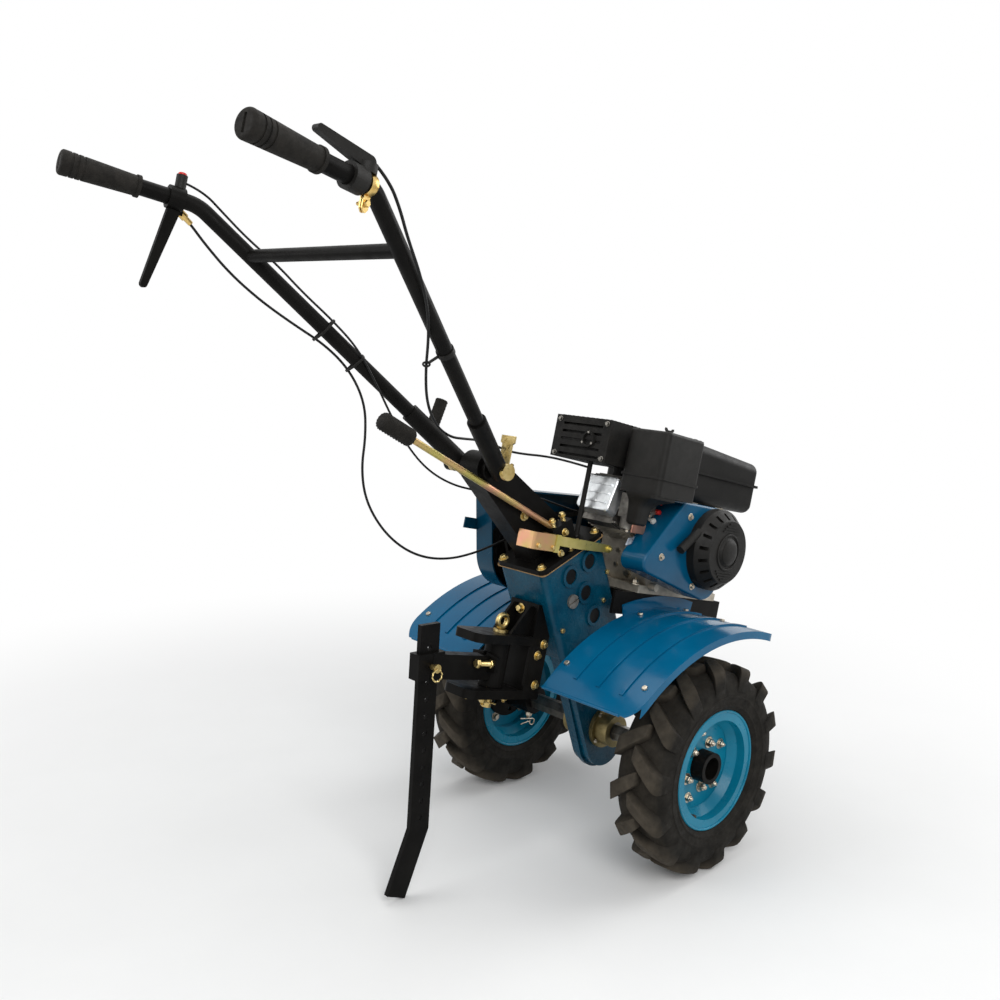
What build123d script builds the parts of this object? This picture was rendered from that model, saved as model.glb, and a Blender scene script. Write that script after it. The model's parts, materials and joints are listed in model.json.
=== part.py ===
from build123d import *
import os
from math import atan2, cos, degrees, pi, radians, sin, tan

# Walking tractor on two driven wheels, parked on the stake behind its hitch.
# Built level about the axle: x forward, y left, z up, axle centre at the origin.
# At the end the whole machine is pitched until the stake meets the ground.

# Clearances
seat_gap = 0.3        # between round faces of pieces that are bolted or pressed together
run_gap = 0.05        # radial play of a pin that turns in its bore

# Wheels
tyre_r = 207.0        # over the lug tips
lug_h = 18.0
lug_w = 32.0
lug_count = 14        # in each of the two rows
lug_skew = 38.0       # lug against the axle direction, degrees
tyre_w = 112.0
tyre_wall = 10.0
crown_drop = 8.0      # tread lower at its shoulders than in the middle
crown_half = 30.0     # flat middle of the tread
shoulder_share = 0.55  # of the side wall's height, where the tyre is widest
rim_share = 0.568     # rim flange radius against the tyre's
rim_lip = 16.0        # flange above the bead seat
rim_w = 88.0
rim_sheet = 3.5
rim_well = 11.6       # well below the bead seat
rim_seat_w = 18.0     # width of a bead seat with its flange
rim_dish = 38.0       # wheel disc behind the outer flange
wheel_track = 532.0

# Hubs and axle
axle_af = 32.0        # hexagon across flats
hub_r = 31.0
hub_mouth_r = 22.0
hub_mouth_depth = 26.0
hub_reach_out = 30.0
hub_reach_in = 96.0
hub_flange_r = 60.0
hub_flange_t = 8.0
hub_bolt_pcd = 92.0
hub_bolt_r = 5.0
hub_bolt_count = 5

# Gearbox, drawn upright and leaned back about the axle
gear_lean = 33.0
case_rear = 98.0
case_front = 75.0
case_half_w = 62.0
case_low = 238.0
case_top = 430.0
case_taper_h = 36.0   # wide case down to the narrow leg
case_round = 14.0
leg_half = 57.0
leg_half_w = 22.0
leg_low = 92.0
leg_rib_w = 10.0
leg_rib_h = 6.0
cover_lap = 3.0
cover_t = 10.0
boss_rim = 7.0        # boss around a plug
boss_proud = 4.0
plug_r = 15.0
plug_t = 2.5
plug_spots = ((-33.0, 394.0), (24.0, 398.0), (-4.0, 342.0), (6.0, 284.0))
oil_plug_r = 14.0
oil_plug_proud = 5.0
oil_plug_u = -42.0
oil_plug_w = 343.0
oil_slot_w = 3.0
journal_extra = 1.5   # axle journal over the hexagon's corners
axle_cap_r = 43.0
axle_cap_t = 38.0
axle_cap_lip = 9.0    # thickness of the cap's flange
axle_cap_neck_r = 34.0

# Engine bed and engine
bed_top = 300.0
bed_h = 46.0
bed_t = 6.0
bed_front = 225.0
bed_rear = -143.0
bed_foot_h = 6.0
crank_x = 62.0
engine_y = -36.0
crank_h = 108.0       # crank axis above the engine's foot
crankcase_front = 118.0
crankcase_rear = 120.0
crankcase_half_w = 66.0
crankcase_h = 172.0
crankcase_round = 30.0
foot_flange = 18.0
foot_flange_h = 16.0
side_cover_r = 60.0
side_cover_t = 8.0
filler_r = 8.0
filler_proud = 16.0
filler_back = 100.0   # oil filler behind the crank
filler_up = 10.0      # and above the engine's foot
cylinder_tilt = 16.0
cylinder_len = 190.0
barrel_half = 40.0
fin_count = 7
fin_pitch = 11.0
fin_t = 4.0
fin_half_w = 48.0
fin_half_h = 50.0
head_len = 34.0
head_fin_count = 4
head_core_half = 38.0
rocker_len = 30.0
rocker_half_w = 42.0
rocker_half_h = 37.0
rocker_rib_count = 3
rocker_rib_h = 3.0
rocker_round = 10.0
post_w = 30.0         # posts under the fuel tank
fan_r = 85.0
fan_shell_w = 58.0
fan_shell_t = 4.0
fan_hood_spots = ((-128.0, 368.0, 22.0), (-48.0, 484.0, 14.0), (66.0, 353.0, 47.0))
fan_round = 5.0
recoil_r = 84.0
recoil_t = 42.0
recoil_rim_t = 18.0   # straight rim of the recoil cover
recoil_face_r = 64.0
recoil_boss_r = 30.0
recoil_boss_h = 4.0
vent_count = 18
vent_w = 7.0
vent_floor = 4.0      # vents stop short of the straight rim
vent_in = 2.0         # from the face's edge to a vent
vent_out = 6.0        # from a vent to the rim
grip_bar_len = 66.0
grip_bar_r = 9.0
grip_bar_back = 39.0  # starter grip behind the recoil's rim
grip_bar_slope = 40.5
grip_bar_drop = 12.0  # its lower end below the crank
tank_len = 262.0
tank_w = 224.0
tank_h = 124.0
tank_drop = 14.0      # top lower at the front than at the rear
tank_round = 20.0
tank_rear = -6.0
tank_gap = 24.0       # tank floor above the crankcase
tank_y = -6.0
tank_seam = 7.0
tank_seam_t = 5.0
cap_r = 33.0
cap_h = 20.0
cap_flute_count = 14
cap_flute_r = 4.0
cleaner_len = 124.0
cleaner_w = 98.0
cleaner_h = 124.0
cleaner_rear = -182.0
cleaner_right = -184.0
cleaner_foot = 496.0
cleaner_lid = 34.0    # seam above the cleaner's foot
cleaner_bead = 2.5
cleaner_round = 12.0
cleaner_stud_r = 6.0
cleaner_stud_h = 7.0
duct_len = 84.0
duct_h = 62.0
duct_back = 0.7       # share of the duct behind the head's middle
carb_half = 26.0
carb_w = 31.0
carb_up = 21.0        # carburettor's top above the head's middle
carb_bowl_r = 14.0
carb_bowl_h = 22.0
muffler_len = 112.0
muffler_w = 128.0
muffler_h = 76.0
muffler_rear = -214.0
muffler_right = -66.0
muffler_foot = 540.0
muffler_round = 10.0
muffler_seam_t = 4.0
pipe_r = 15.0
guard_t = 2.5
guard_gap = 6.0
louvre_count = 5
louvre_h = 5.0
louvre_edge = 12.0    # sheet left beside a louvre
vent_rows = 5
vent_columns = 3
strut_r = 5.0
strut_u = 40.0
strut_y = -24.0
strut_sink = 8.0      # strut's end in the muffler
strut_seat = 4.0      # and in the gearbox cover

# Belt drive on the left
belt_y = 124.0
belt_w = 34.0
belt_t = 9.0
drive_pulley_r = 38.0
driven_pulley_r = 54.0
driven_u = 0.0
driven_w = 400.0
pulley_flange = 7.0
pulley_flange_t = 4.0
pulley_rim = 9.0
pulley_recess = 12.0
shaft_r = 20.0
hood_gap = 15.0
hood_t = 3.0
hood_in = 20.0        # hood's inner edge from the belt's middle
hood_out = 26.0
hood_corner_back = 93.0  # rear top corner from the driven pulley
hood_corner_up = 100.0
hood_corner_r = 18.0
hood_pad_in = 16.0    # raised pad within the hood's outline
hood_pad_h = 4.0
hood_ear_len = 48.0
hood_ear_h = 22.0
hood_ear_up = 38.0
hood_tab_w = 40.0
spacer_r = 8.0
spacer_angle = -60.0
clutch_pin_u = -46.0
clutch_pin_w = 400.0
clutch_pin_r = 9.0
clutch_boss = 2.0     # arm around its pin
clutch_arm_x = -287.0
clutch_arm_z = 358.0
clutch_arm_r = 8.0
clutch_arm_t = 8.0
clutch_arm_gap = 13.0  # arm from the gearbox face

# Fenders
fender_in = 100.0
fender_out = 320.0
fender_t = 3.0
fender_lip = 12.0
fender_rib_h = 3.0
fender_rib_w = 8.0
fender_rib_count = 3
fender_rib_end = 5.0  # degrees of plain sheet past a rib
fender_r = 427.0
fender_cx = 40.0
fender_gap = 67.0     # crown of the fender over the tyre
fender_from = 80.0
fender_sweep = 63.0
fender_round = 34.0   # outer corners
fender_flange = 26.0
fender_flange_sweep = 30.0

# Hitch, drawbar and stake
hitch_half_w = 38.0
hitch_plate = 10.0
hitch_rear = -286.0
hitch_front_low = -240.0
hitch_high = 248.0
hitch_low = 63.0
jaw_rear = -428.0
jaw_t = 17.0
jaw_gap = 88.0
hitch_pin_x = -338.0
hitch_pin_r = 9.0
hitch_pin_tail = 24.0
pin_collar_r = 14.4
pin_collar_t = 5.0
hitch_ring_r = 12.0
hitch_ring_wire = 5.0
bar_h = 46.0
bar_half_w = 14.0
bar_lift = 14.0       # bar above the lower jaw
eye_r = 24.0
eye_play = 1.0
stake_x = -508.0
stake_lean = 10.2
stake_w = 44.0
stake_t = 10.0
stake_up = 76.0       # above the middle of the sleeve
stake_down = 310.0
stake_toe = 128.0
stake_kick = 21.0
stake_hole_r = 5.0
stake_hole_pitch = 32.0
stake_hole_count = 11
sleeve_wall = 8.0
sleeve_h = 48.0
stake_pin_tail = 12.0
stake_pin_head_r = 8.0
stake_pin_head_t = 5.0

# Handlebar
pivot_x = -472.0
pivot_z = 484.0
pivot_bolt_r = 9.0
pivot_head_r = 15.0
pivot_head_t = 8.0
pivot_washer = 1.0    # sleeve to bolt head
column_half_w = 24.0
column_eye_r = 30.0
column_foot_t = 9.0
column_foot_half = 31.0
column_rear = -78.0   # foot on the gearbox cover
column_front = 6.0
column_brow_x = -283.0  # front top of the column
column_brow_z = 418.0
column_brow_r = 12.0
cheek_t = 10.0
cheek_r = 22.0
cheek_play = 0.3
bar_spread = 154.0    # sideways run of a tube from pivot to cross tube
bar_back = 422.0
bar_rise = 270.0
tube_r = 13.0
tube_wall = 2.5
tube_nest = 3.0       # sleeve let into its cheek
sleeve_r = 17.0
sleeve_len = 142.0
bend_r = 60.0
grip_x = -1200.0
grip_y = 272.0
grip_z = 812.0
grip_len = 122.0
grip_r = 16.0         # at the collar
grip_end_r = 20.0
grip_round = 5.0      # hand end
grip_cap = 4.0        # rubber over the tube's end
grip_slot_w = 5.0     # slot across the end
grip_slot_len = 24.0
grip_groove_count = 3
grip_groove_w = 3.0
grip_groove_d = 1.2
grip_groove_pitch = 9.0
grip_collar_w = 6.0
grip_collar_h = 2.0
tube_run_in = 56.0
cross_r = 11.0
cross_share = 1.0     # cross tube along the bar's run

# Controls
clutch_perch_x = -1022.0
throttle_perch_x = -1018.0
throttle_body_x = -1000.0
lever_perch_len = 26.0
lever_perch_wall = 6.0
perch_cut = 60.0      # half length of the bore cut through a perch
clutch_lever_drop = 128.0
clutch_lever_back = 26.0
clutch_lever_root_r = 11.0
clutch_lever_tip_r = 6.0
lever_t = 7.0
gland_half = 7.0      # cable block on the clutch perch
throttle_body_r = 15.0
throttle_body_h = 13.0
throttle_reach = 82.0
throttle_rise = 16.0
throttle_tip_r = 5.0
switch_x = -1018.0
switch_r = 9.0
switch_h = 26.0
shift_rod_r = 6.0
shift_low = (-285.0, -40.0, 397.0)
shift_high = (-690.0, -35.0, 511.0)
knob_len = 72.0
knob_r = 16.0
knob_round = 6.0
shift_block_rear = -46.0
shift_block_front = 16.0
shift_block_right = -58.0
shift_block_left = -33.0
shift_block_h = 62.0
gate_y = -70.0
gate_t = 3.0
gate_rear = -373.0
gate_front = -303.0
gate_low = 356.0
gate_high = 388.0
gate_arm_x = -149.0
gate_arm_r = 8.0
gate_arm_drop = 3.0
gate_link_r = 5.0
clamp_rod_r = 6.0
clamp_knee = (-526.0, 92.0, 534.0)
clamp_top = (-516.0, 92.0, 584.0)
clamp_grip_len = 52.0
clamp_grip_r = 12.0
clamp_grip_cap = 10.0

# Cables
cable_r = 3.0
wire_r = 2.5
cord_share = 0.45     # of the shorter run, taken up by a corner's arc

crank_z = bed_top + bed_foot_h + crank_h
fender_cz = tyre_r + fender_gap - fender_r
engine_foot = bed_top + bed_foot_h


def box(x0, x1, y0, y1, z0, z1):
    """Block between two corners."""
    return Pos((x0 + x1) / 2, (y0 + y1) / 2, (z0 + z1) / 2) * Box(x1 - x0, y1 - y0, z1 - z0)


def slab(sketch, y_from, y_to):
    """Side outline, drawn as x and z, thickened across the machine."""
    return extrude(Plane.XZ.offset(-y_from) * sketch, amount=y_from - y_to)


def outline(*points):
    """Closed side outline through corner points."""
    return make_face(Polyline(*points, close=True))


def rod(a, b, radius):
    """Round bar from one point to another."""
    a = Vector(a)
    b = Vector(b)
    plane = Plane(origin=a, z_dir=b - a)
    return extrude(plane * Circle(radius), amount=(b - a).length)


def across(x, z, radius, y_from, y_to):
    """Round bar that lies across the machine."""
    return slab(Pos(x, z) * Circle(radius), y_from, y_to)


def turned(*points):
    """Body turned about the axle from an outline of y and radius."""
    return revolve(Plane.YZ * make_face(Polyline(*points, close=True)), Axis.Y)


def leaned(shape):
    """From the upright gearbox drawing to its place on the machine."""
    return Rot(0, -gear_lean, 0) * shape


def lean_point(u, w):
    """Gearbox drawing coordinates as x and z of the machine."""
    lean = radians(gear_lean)
    return u * cos(lean) - w * sin(lean), u * sin(lean) + w * cos(lean)


def hull(*circles):
    """Outline stretched around circles given as x, z and radius."""
    edges = []
    for x, z, radius in circles:
        edges.append((Pos(x, z) * Circle(radius)).edge())
    return make_hull(edges)


def cord(points, radius):
    """Round cord through points, with an arc at each corner."""
    corners = []
    for before, at, after in zip(points, points[1:], points[2:]):
        run_in = Vector(at) - Vector(before)
        run_out = Vector(after) - Vector(at)
        turn = radians(run_in.get_angle(run_out))
        shorter = min(run_in.length, run_out.length)
        corners.append(cord_share * shorter / tan(turn / 2))
    path = FilletPolyline(*points, radius=corners)
    print("cord length", round(path.length), "least radius", round(min(corners)))
    start = Plane(origin=points[0], z_dir=Vector(points[1]) - Vector(points[0]))
    tube = sweep(start * Circle(radius), path=path)
    print("cord volume share", round(tube.volume / (path.length * pi * radius**2), 4))
    return tube


parts = {}

# Tyre: hollow carcass with two rows of slanted lugs
tread_r = tyre_r - lug_h
rim_flange_r = rim_share * tyre_r
bead_r = rim_flange_r - rim_lip
rim_well_r = bead_r - rim_well
shoulder_r = rim_flange_r + shoulder_share * (tread_r - rim_flange_r)
half_tyre = tyre_w / 2
half_rim = rim_w / 2
bead_in = half_rim - rim_sheet - seat_gap
bead_seat = bead_r + seat_gap
lip_r = rim_flange_r + seat_gap
belly = (half_tyre - crown_drop / 2, (lip_r + shoulder_r) / 2)
half_section = (
    Line((0, bead_seat), (bead_in, bead_seat))
    + Line((bead_in, bead_seat), (bead_in, lip_r))
    + ThreePointArc((bead_in, lip_r), belly, (half_tyre, shoulder_r))
    + Line((half_tyre, shoulder_r), (half_tyre - crown_drop, tread_r - crown_drop))
    + Line((half_tyre - crown_drop, tread_r - crown_drop), (crown_half, tread_r))
    + Line((crown_half, tread_r), (0, tread_r))
)
carcass = revolve(Plane.YZ * make_face(half_section + mirror(half_section, Plane.YZ)), Axis.Y)
hollow = turned(
    (tyre_wall - bead_in, bead_r - tyre_wall),
    (bead_in - tyre_wall, bead_r - tyre_wall),
    (bead_in - tyre_wall, lip_r),
    (half_tyre - tyre_wall, shoulder_r),
    (crown_half, tread_r - tyre_wall),
    (-crown_half, tread_r - tyre_wall),
    (tyre_wall - half_tyre, shoulder_r),
    (tyre_wall - bead_in, lip_r),
)
lug_root = tread_r - 2 * crown_drop
lug_shell = turned(
    (-half_tyre, lug_root),
    (half_tyre, lug_root),
    (half_tyre, tyre_r - crown_drop),
    (half_tyre - crown_drop, tyre_r),
    (crown_drop - half_tyre, tyre_r),
    (-half_tyre, tyre_r - crown_drop),
)
lug_len = 1.2 * half_tyre / cos(radians(lug_skew))
lug_bar = Pos(0, half_tyre / 2, tyre_r - lug_h / 2) * Rot(0, 0, lug_skew) * Box(lug_w, lug_len, 3 * lug_h)
lug = lug_bar & lug_shell & box(-tyre_r, tyre_r, -lug_w / 2, half_tyre, 0, tyre_r)
lugs = []
for index in range(lug_count):
    angle = 360 * index / lug_count
    lugs.append(Rot(0, angle, 0) * lug)
    lugs.append(Rot(0, angle + 180 / lug_count, 0) * mirror(lug, Plane.XZ))
tyre = carcass - hollow + lugs

# Rim: rolled channel with a dished disc, outer side towards +y
disc_s = half_rim - rim_dish
well_half = rim_sheet + abs(disc_s)
rim = turned(
    (-half_rim, rim_flange_r),
    (rim_sheet - half_rim, rim_flange_r),
    (rim_sheet - half_rim, bead_r),
    (rim_seat_w - half_rim, bead_r),
    (-well_half, rim_well_r),
    (well_half, rim_well_r),
    (half_rim - rim_seat_w, bead_r),
    (half_rim - rim_sheet, bead_r),
    (half_rim - rim_sheet, rim_flange_r),
    (half_rim, rim_flange_r),
    (half_rim, bead_r - rim_sheet),
    (half_rim - rim_seat_w, bead_r - rim_sheet),
    (well_half, rim_well_r - rim_sheet),
    (disc_s + rim_sheet / 2, rim_well_r - rim_sheet),
    (disc_s + rim_sheet / 2, hub_r + seat_gap),
    (disc_s - rim_sheet / 2, hub_r + seat_gap),
    (disc_s - rim_sheet / 2, rim_well_r - rim_sheet),
    (-well_half, rim_well_r - rim_sheet),
    (rim_seat_w - half_rim, bead_r - rim_sheet),
    (-half_rim, bead_r - rim_sheet),
)
bolt_holes = []
for index in range(hub_bolt_count):
    turn = 2 * pi * index / hub_bolt_count
    spot = (hub_bolt_pcd / 2 * cos(turn), hub_bolt_pcd / 2 * sin(turn))
    bolt_holes.append(across(*spot, hub_bolt_r, -rim_w, rim_w))
rim -= bolt_holes

# Hub: flanged tube with a hexagon bore and an open mouth
hub_end = disc_s + hub_reach_out
hub_start = disc_s - hub_reach_in
flange_face = disc_s - rim_sheet / 2
hexagon = RegularPolygon(axle_af / 2 + run_gap, 6, major_radius=False)
hub = across(0, 0, hub_r, hub_start, hub_end)
hub += across(0, 0, hub_flange_r, flange_face - hub_flange_t, flange_face)
hub -= slab(hexagon, hub_start, hub_end)
hub -= across(0, 0, hub_mouth_r, hub_end - hub_mouth_depth, hub_end)
hub -= bolt_holes

half_track = wheel_track / 2
for side, name in ((1, "left"), (-1, "right")):
    for piece, label in ((tyre, "tyre"), (rim, "rim"), (hub, "hub")):
        placed = Pos(0, half_track, 0) * piece
        parts[f"{label}_{name}"] = placed if side > 0 else mirror(placed, Plane.XZ)

# Axle: hexagon bar with a round journal in the gearbox
journal_r = axle_af / 3**0.5 + journal_extra
journal_half = leg_half_w + axle_cap_t
axle_half = half_track + hub_end - hub_mouth_depth
axle = slab(RegularPolygon(axle_af / 2, 6, major_radius=False), -axle_half, axle_half)
axle += across(0, 0, journal_r, -journal_half, journal_half)
parts["axle_shaft"] = axle

# Gearbox casting: wide case with plug bosses on top of a narrow ribbed leg that holds the axle
case_taper = case_low - case_taper_h
case = slab(
    outline(
        (-case_rear, case_top),
        (-case_rear, case_low),
        (-leg_half, case_taper),
        (leg_half, case_taper),
        (case_front, case_low),
        (case_front, case_top),
    ),
    -case_half_w,
    case_half_w,
)
case = fillet(case.edges().filter_by(Axis.Z), case_round)
leg_foot = leg_half - leg_low
leg = slab(hull((0, leg_foot, leg_half), (0, case_low, leg_half)), -leg_half_w, leg_half_w)
rib_r = leg_half + leg_rib_h
leg += slab(hull((0, leg_foot, rib_r), (0, case_low, leg_half)), -leg_rib_w / 2, leg_rib_w / 2)
housing = case + leg - across(0, 0, journal_r + seat_gap, -case_half_w, case_half_w)
boss_face = -case_half_w - boss_proud
plug_seat = boss_face + 2 * plug_t
plugs = []
for u, w in plug_spots:
    housing += across(u, w, plug_r + boss_rim, boss_face, -case_half_w)
    housing -= across(u, w, plug_r + seat_gap, boss_face, plug_seat)
    plugs.append(across(u, w, plug_r, plug_seat - plug_t, plug_seat))
parts["gearbox_housing"] = leaned(housing)
parts["bearing_plugs"] = leaned(Compound(children=plugs))
oil_face = -case_half_w - oil_plug_proud
oil_plug = across(oil_plug_u, oil_plug_w, oil_plug_r, oil_face, -case_half_w)
oil_plug -= Pos(oil_plug_u, oil_face, oil_plug_w) * Box(2 * oil_plug_r, oil_plug_proud, oil_slot_w)
parts["oil_plug"] = leaned(oil_plug)
cover_top = case_top + cover_t
cover_half = case_half_w + cover_lap
cover = box(-case_rear - cover_lap, case_front + cover_lap, -cover_half, cover_half, case_top, cover_top)
cover = fillet(cover.edges().filter_by(Axis.Z), case_round)
parts["gearbox_cover"] = leaned(cover)
cap_end = leg_half_w + axle_cap_t
cap = across(0, 0, axle_cap_r, leg_half_w, leg_half_w + axle_cap_lip)
cap += across(0, 0, axle_cap_neck_r, leg_half_w, cap_end)
cap -= across(0, 0, journal_r + run_gap, leg_half_w, cap_end)
parts["axle_caps"] = Compound(children=[cap, mirror(cap, Plane.XZ)])

# Engine bed: folded plate frame around the gearbox case
bed_half_w = fender_in
bed_low = bed_top - bed_h


def face_x(u, z):
    """x of a gearbox face of constant u at a height."""
    lean = radians(gear_lean)
    w = (z - u * sin(lean)) / cos(lean)
    return lean_point(u, w)[0]


bed_back = face_x(case_front, bed_low)
bed_under = bed_top - bed_t
bed = slab(
    outline(
        (face_x(case_front, bed_top), bed_top),
        (bed_front, bed_top),
        (bed_front, bed_under),
        (face_x(case_front, bed_under), bed_under),
    ),
    -bed_half_w,
    bed_half_w,
)
bed += slab(
    outline(
        (face_x(case_front, bed_top), bed_top),
        (face_x(case_front, bed_top) + bed_t, bed_top),
        (bed_back + bed_t, bed_low),
        (bed_back, bed_low),
    ),
    -case_half_w,
    case_half_w,
)
for side in (1, -1):
    rail_in = side * (bed_half_w - bed_t)
    rail_out = side * bed_half_w
    bed += box(bed_rear, bed_front, min(rail_in, rail_out), max(rail_in, rail_out), bed_low, bed_top)
parts["engine_bed"] = bed

# Engine: crankcase, tilted finned cylinder, head and ribbed rocker cover
case_back = crank_x - crankcase_rear
case_fore = crank_x + crankcase_front
engine_right = engine_y - crankcase_half_w
engine_left = engine_y + crankcase_half_w
engine_top = engine_foot + crankcase_h
tank_foot = engine_top + tank_gap
block = box(case_back, case_fore, engine_right, engine_left, engine_foot, engine_top)
block = fillet(block.edges().filter_by(Axis.Y), crankcase_round)
flange_rear = case_back - foot_flange
flange_fore = case_fore + foot_flange
block += box(flange_rear, flange_fore, engine_right, engine_left, bed_top, bed_top + foot_flange_h)
side_cover_out = engine_left + side_cover_t
block += across(crank_x, crank_z, side_cover_r, engine_left, side_cover_out)
filler_x = crank_x - filler_back
block += across(filler_x, engine_foot + filler_up, filler_r, engine_right - filler_proud, engine_right)
at_cylinder = Pos(crank_x, engine_y, crank_z) * Rot(0, 180 + cylinder_tilt, 0)
from_foot = (Align.MIN, Align.CENTER, Align.CENTER)
barrel = Box(cylinder_len, 2 * barrel_half, 2 * barrel_half, align=from_foot)
for index in range(fin_count):
    spot = cylinder_len - fin_t / 2 - index * fin_pitch
    barrel += Pos(spot, 0, 0) * Box(fin_t, 2 * fin_half_w, 2 * fin_half_h)
block += at_cylinder * barrel
for post_x in (tank_rear + 2 * post_w, case_fore - post_w):
    block += box(
        post_x - post_w / 2, post_x + post_w / 2, engine_right, engine_left, engine_top - post_w, tank_foot
    )
parts["engine_block"] = block
head = Box(head_len, 2 * head_core_half, 2 * fin_half_h, align=from_foot)
head_fin_pitch = 2 * (fin_half_h - fin_t) / (head_fin_count - 1)
for index in range(head_fin_count):
    fin_z = fin_t - fin_half_h + index * head_fin_pitch
    head += Pos(0, 0, fin_z) * Box(head_len, 2 * fin_half_w, fin_t, align=from_foot)
parts["cylinder_head"] = at_cylinder * Pos(cylinder_len, 0, 0) * head
rocker = Box(rocker_len, 2 * rocker_half_w, 2 * rocker_half_h, align=from_foot)
rocker = fillet(rocker.edges().filter_by(Axis.X), rocker_round)
rocker = fillet(rocker.faces().sort_by(Axis.X)[-1].edges(), fin_t)
rocker_rib_pitch = 2 * rocker_half_h / (rocker_rib_count + 1)
for index in range(rocker_rib_count):
    rib_z = (index + 1) * rocker_rib_pitch - rocker_half_h
    rib = Box(rocker_len + rocker_rib_h, 2 * (rocker_half_w - rocker_round), fin_t, align=from_foot)
    rocker += Pos(0, 0, rib_z) * rib
parts["rocker_cover"] = at_cylinder * Pos(cylinder_len + head_len, 0, 0) * rocker

# Fan shell and vented recoil starter on the right of the engine
fan_outline = hull((crank_x, crank_z, fan_r), *fan_hood_spots)
shell_out = engine_right - fan_shell_w
fan_shell = slab(fan_outline, shell_out, engine_right)
fan_shell = fillet(fan_shell.faces().sort_by(Axis.Y)[0].edges(), fan_round)
fan_shell -= slab(offset(fan_outline, -fan_shell_t), shell_out + fan_shell_t, engine_right)
parts["fan_shell"] = fan_shell
recoil = turned(
    (0, 0),
    (0, recoil_r),
    (-recoil_rim_t, recoil_r),
    (-recoil_t, recoil_face_r),
    (-recoil_t, recoil_boss_r),
    (-recoil_t - recoil_boss_h, recoil_boss_r - recoil_boss_h),
    (-recoil_t - recoil_boss_h, 0),
)
vent_deep = -recoil_rim_t - vent_floor
vent = box(recoil_face_r + vent_in, recoil_r - vent_out, -recoil_t, vent_deep, -vent_w / 2, vent_w / 2)
for index in range(vent_count):
    recoil -= Rot(0, 360 * index / vent_count, 0) * vent
bar_slope = radians(grip_bar_slope)
bar_y = shell_out - recoil_rim_t + grip_bar_r / 2
bar_from = Vector(crank_x - recoil_r - grip_bar_back, bar_y, crank_z - grip_bar_drop)
bar_to = bar_from + Vector(cos(bar_slope), 0, sin(bar_slope)) * grip_bar_len
parts["recoil_starter"] = Pos(crank_x, shell_out, crank_z) * recoil + rod(bar_from, bar_to, grip_bar_r)

# Fuel tank pressed from two halves, with a seam and a fluted cap
tank_fore = tank_rear + tank_len
tank_top = tank_foot + tank_h
tank_right = tank_y - tank_w / 2
tank_left = tank_y + tank_w / 2
tank = slab(
    outline(
        (tank_rear, tank_foot),
        (tank_fore, tank_foot),
        (tank_fore, tank_top - tank_drop),
        (tank_rear, tank_top),
    ),
    tank_right,
    tank_left,
)
tank = fillet(tank.edges(), tank_round)
tank_mid = tank_foot + tank_h / 2
seam = box(
    tank_rear - tank_seam,
    tank_fore + tank_seam,
    tank_right - tank_seam,
    tank_left + tank_seam,
    tank_mid - tank_seam_t / 2,
    tank_mid + tank_seam_t / 2,
)
tank += fillet(seam.edges().filter_by(Axis.Z), tank_round + tank_seam / 2)
parts["fuel_tank"] = tank
upright = (Align.CENTER, Align.CENTER, Align.MIN)
fuel_cap = Cylinder(cap_r, cap_h, align=upright)
for index in range(cap_flute_count):
    turn = 2 * pi * index / cap_flute_count
    fuel_cap -= Pos(cap_r * cos(turn), cap_r * sin(turn), 0) * Cylinder(cap_flute_r, 2 * cap_h)
tank_slope = degrees(atan2(tank_drop, tank_len))
parts["fuel_cap"] = (
    Pos(tank_rear + tank_len / 2, tank_y, tank_top - tank_drop / 2) * Rot(0, tank_slope, 0) * fuel_cap
)

# Air cleaner box with its lid seam and stud, on its duct, and the carburettor between duct and head
cleaner_left = cleaner_right + cleaner_w
cleaner_fore = cleaner_rear + cleaner_len
cleaner_top = cleaner_foot + cleaner_h
cleaner = box(cleaner_rear, cleaner_fore, cleaner_right, cleaner_left, cleaner_foot, cleaner_top)
cleaner = fillet(cleaner.edges().filter_by(Axis.Z), cleaner_round)
cleaner = fillet(cleaner.faces().sort_by(Axis.Z)[-1].edges(), cleaner_round / 2)
lid_seam = cleaner_foot + cleaner_lid
lid_bead = box(
    cleaner_rear - cleaner_bead,
    cleaner_fore + cleaner_bead,
    cleaner_right - cleaner_bead,
    cleaner_left + cleaner_bead,
    lid_seam - cleaner_bead,
    lid_seam + cleaner_bead,
)
cleaner += fillet(lid_bead.edges().filter_by(Axis.Z), cleaner_round)
stud_at = Pos((cleaner_rear + cleaner_fore) / 2, (cleaner_right + cleaner_left) / 2, cleaner_top)
cleaner += stud_at * Cylinder(cleaner_stud_r, cleaner_stud_h, align=upright)
parts["air_cleaner"] = cleaner
tilt = radians(cylinder_tilt)
head_mid = cylinder_len + head_len / 2
head_x = crank_x - head_mid * cos(tilt)
head_z = crank_z + head_mid * sin(tilt)
head_right = engine_y - fin_half_w
carb_right = head_right - carb_w
duct_rear = head_x - duct_back * duct_len
duct = box(duct_rear, duct_rear + duct_len, cleaner_right, carb_right, cleaner_foot - duct_h, cleaner_foot)
parts["air_duct"] = fillet(duct.edges().filter_by(Axis.Z), cleaner_round)
carb_rear = head_x - carb_half
carb_fore = head_x + carb_half / 2
carb = box(carb_rear, carb_fore, carb_right, head_right, head_z - carb_half, head_z + carb_up)
bowl_at = Pos(head_x - carb_half / 2, (carb_right + head_right) / 2, head_z - carb_half - carb_bowl_h)
carb += bowl_at * Cylinder(carb_bowl_r, carb_bowl_h, align=upright)
parts["carburettor"] = carb

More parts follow.
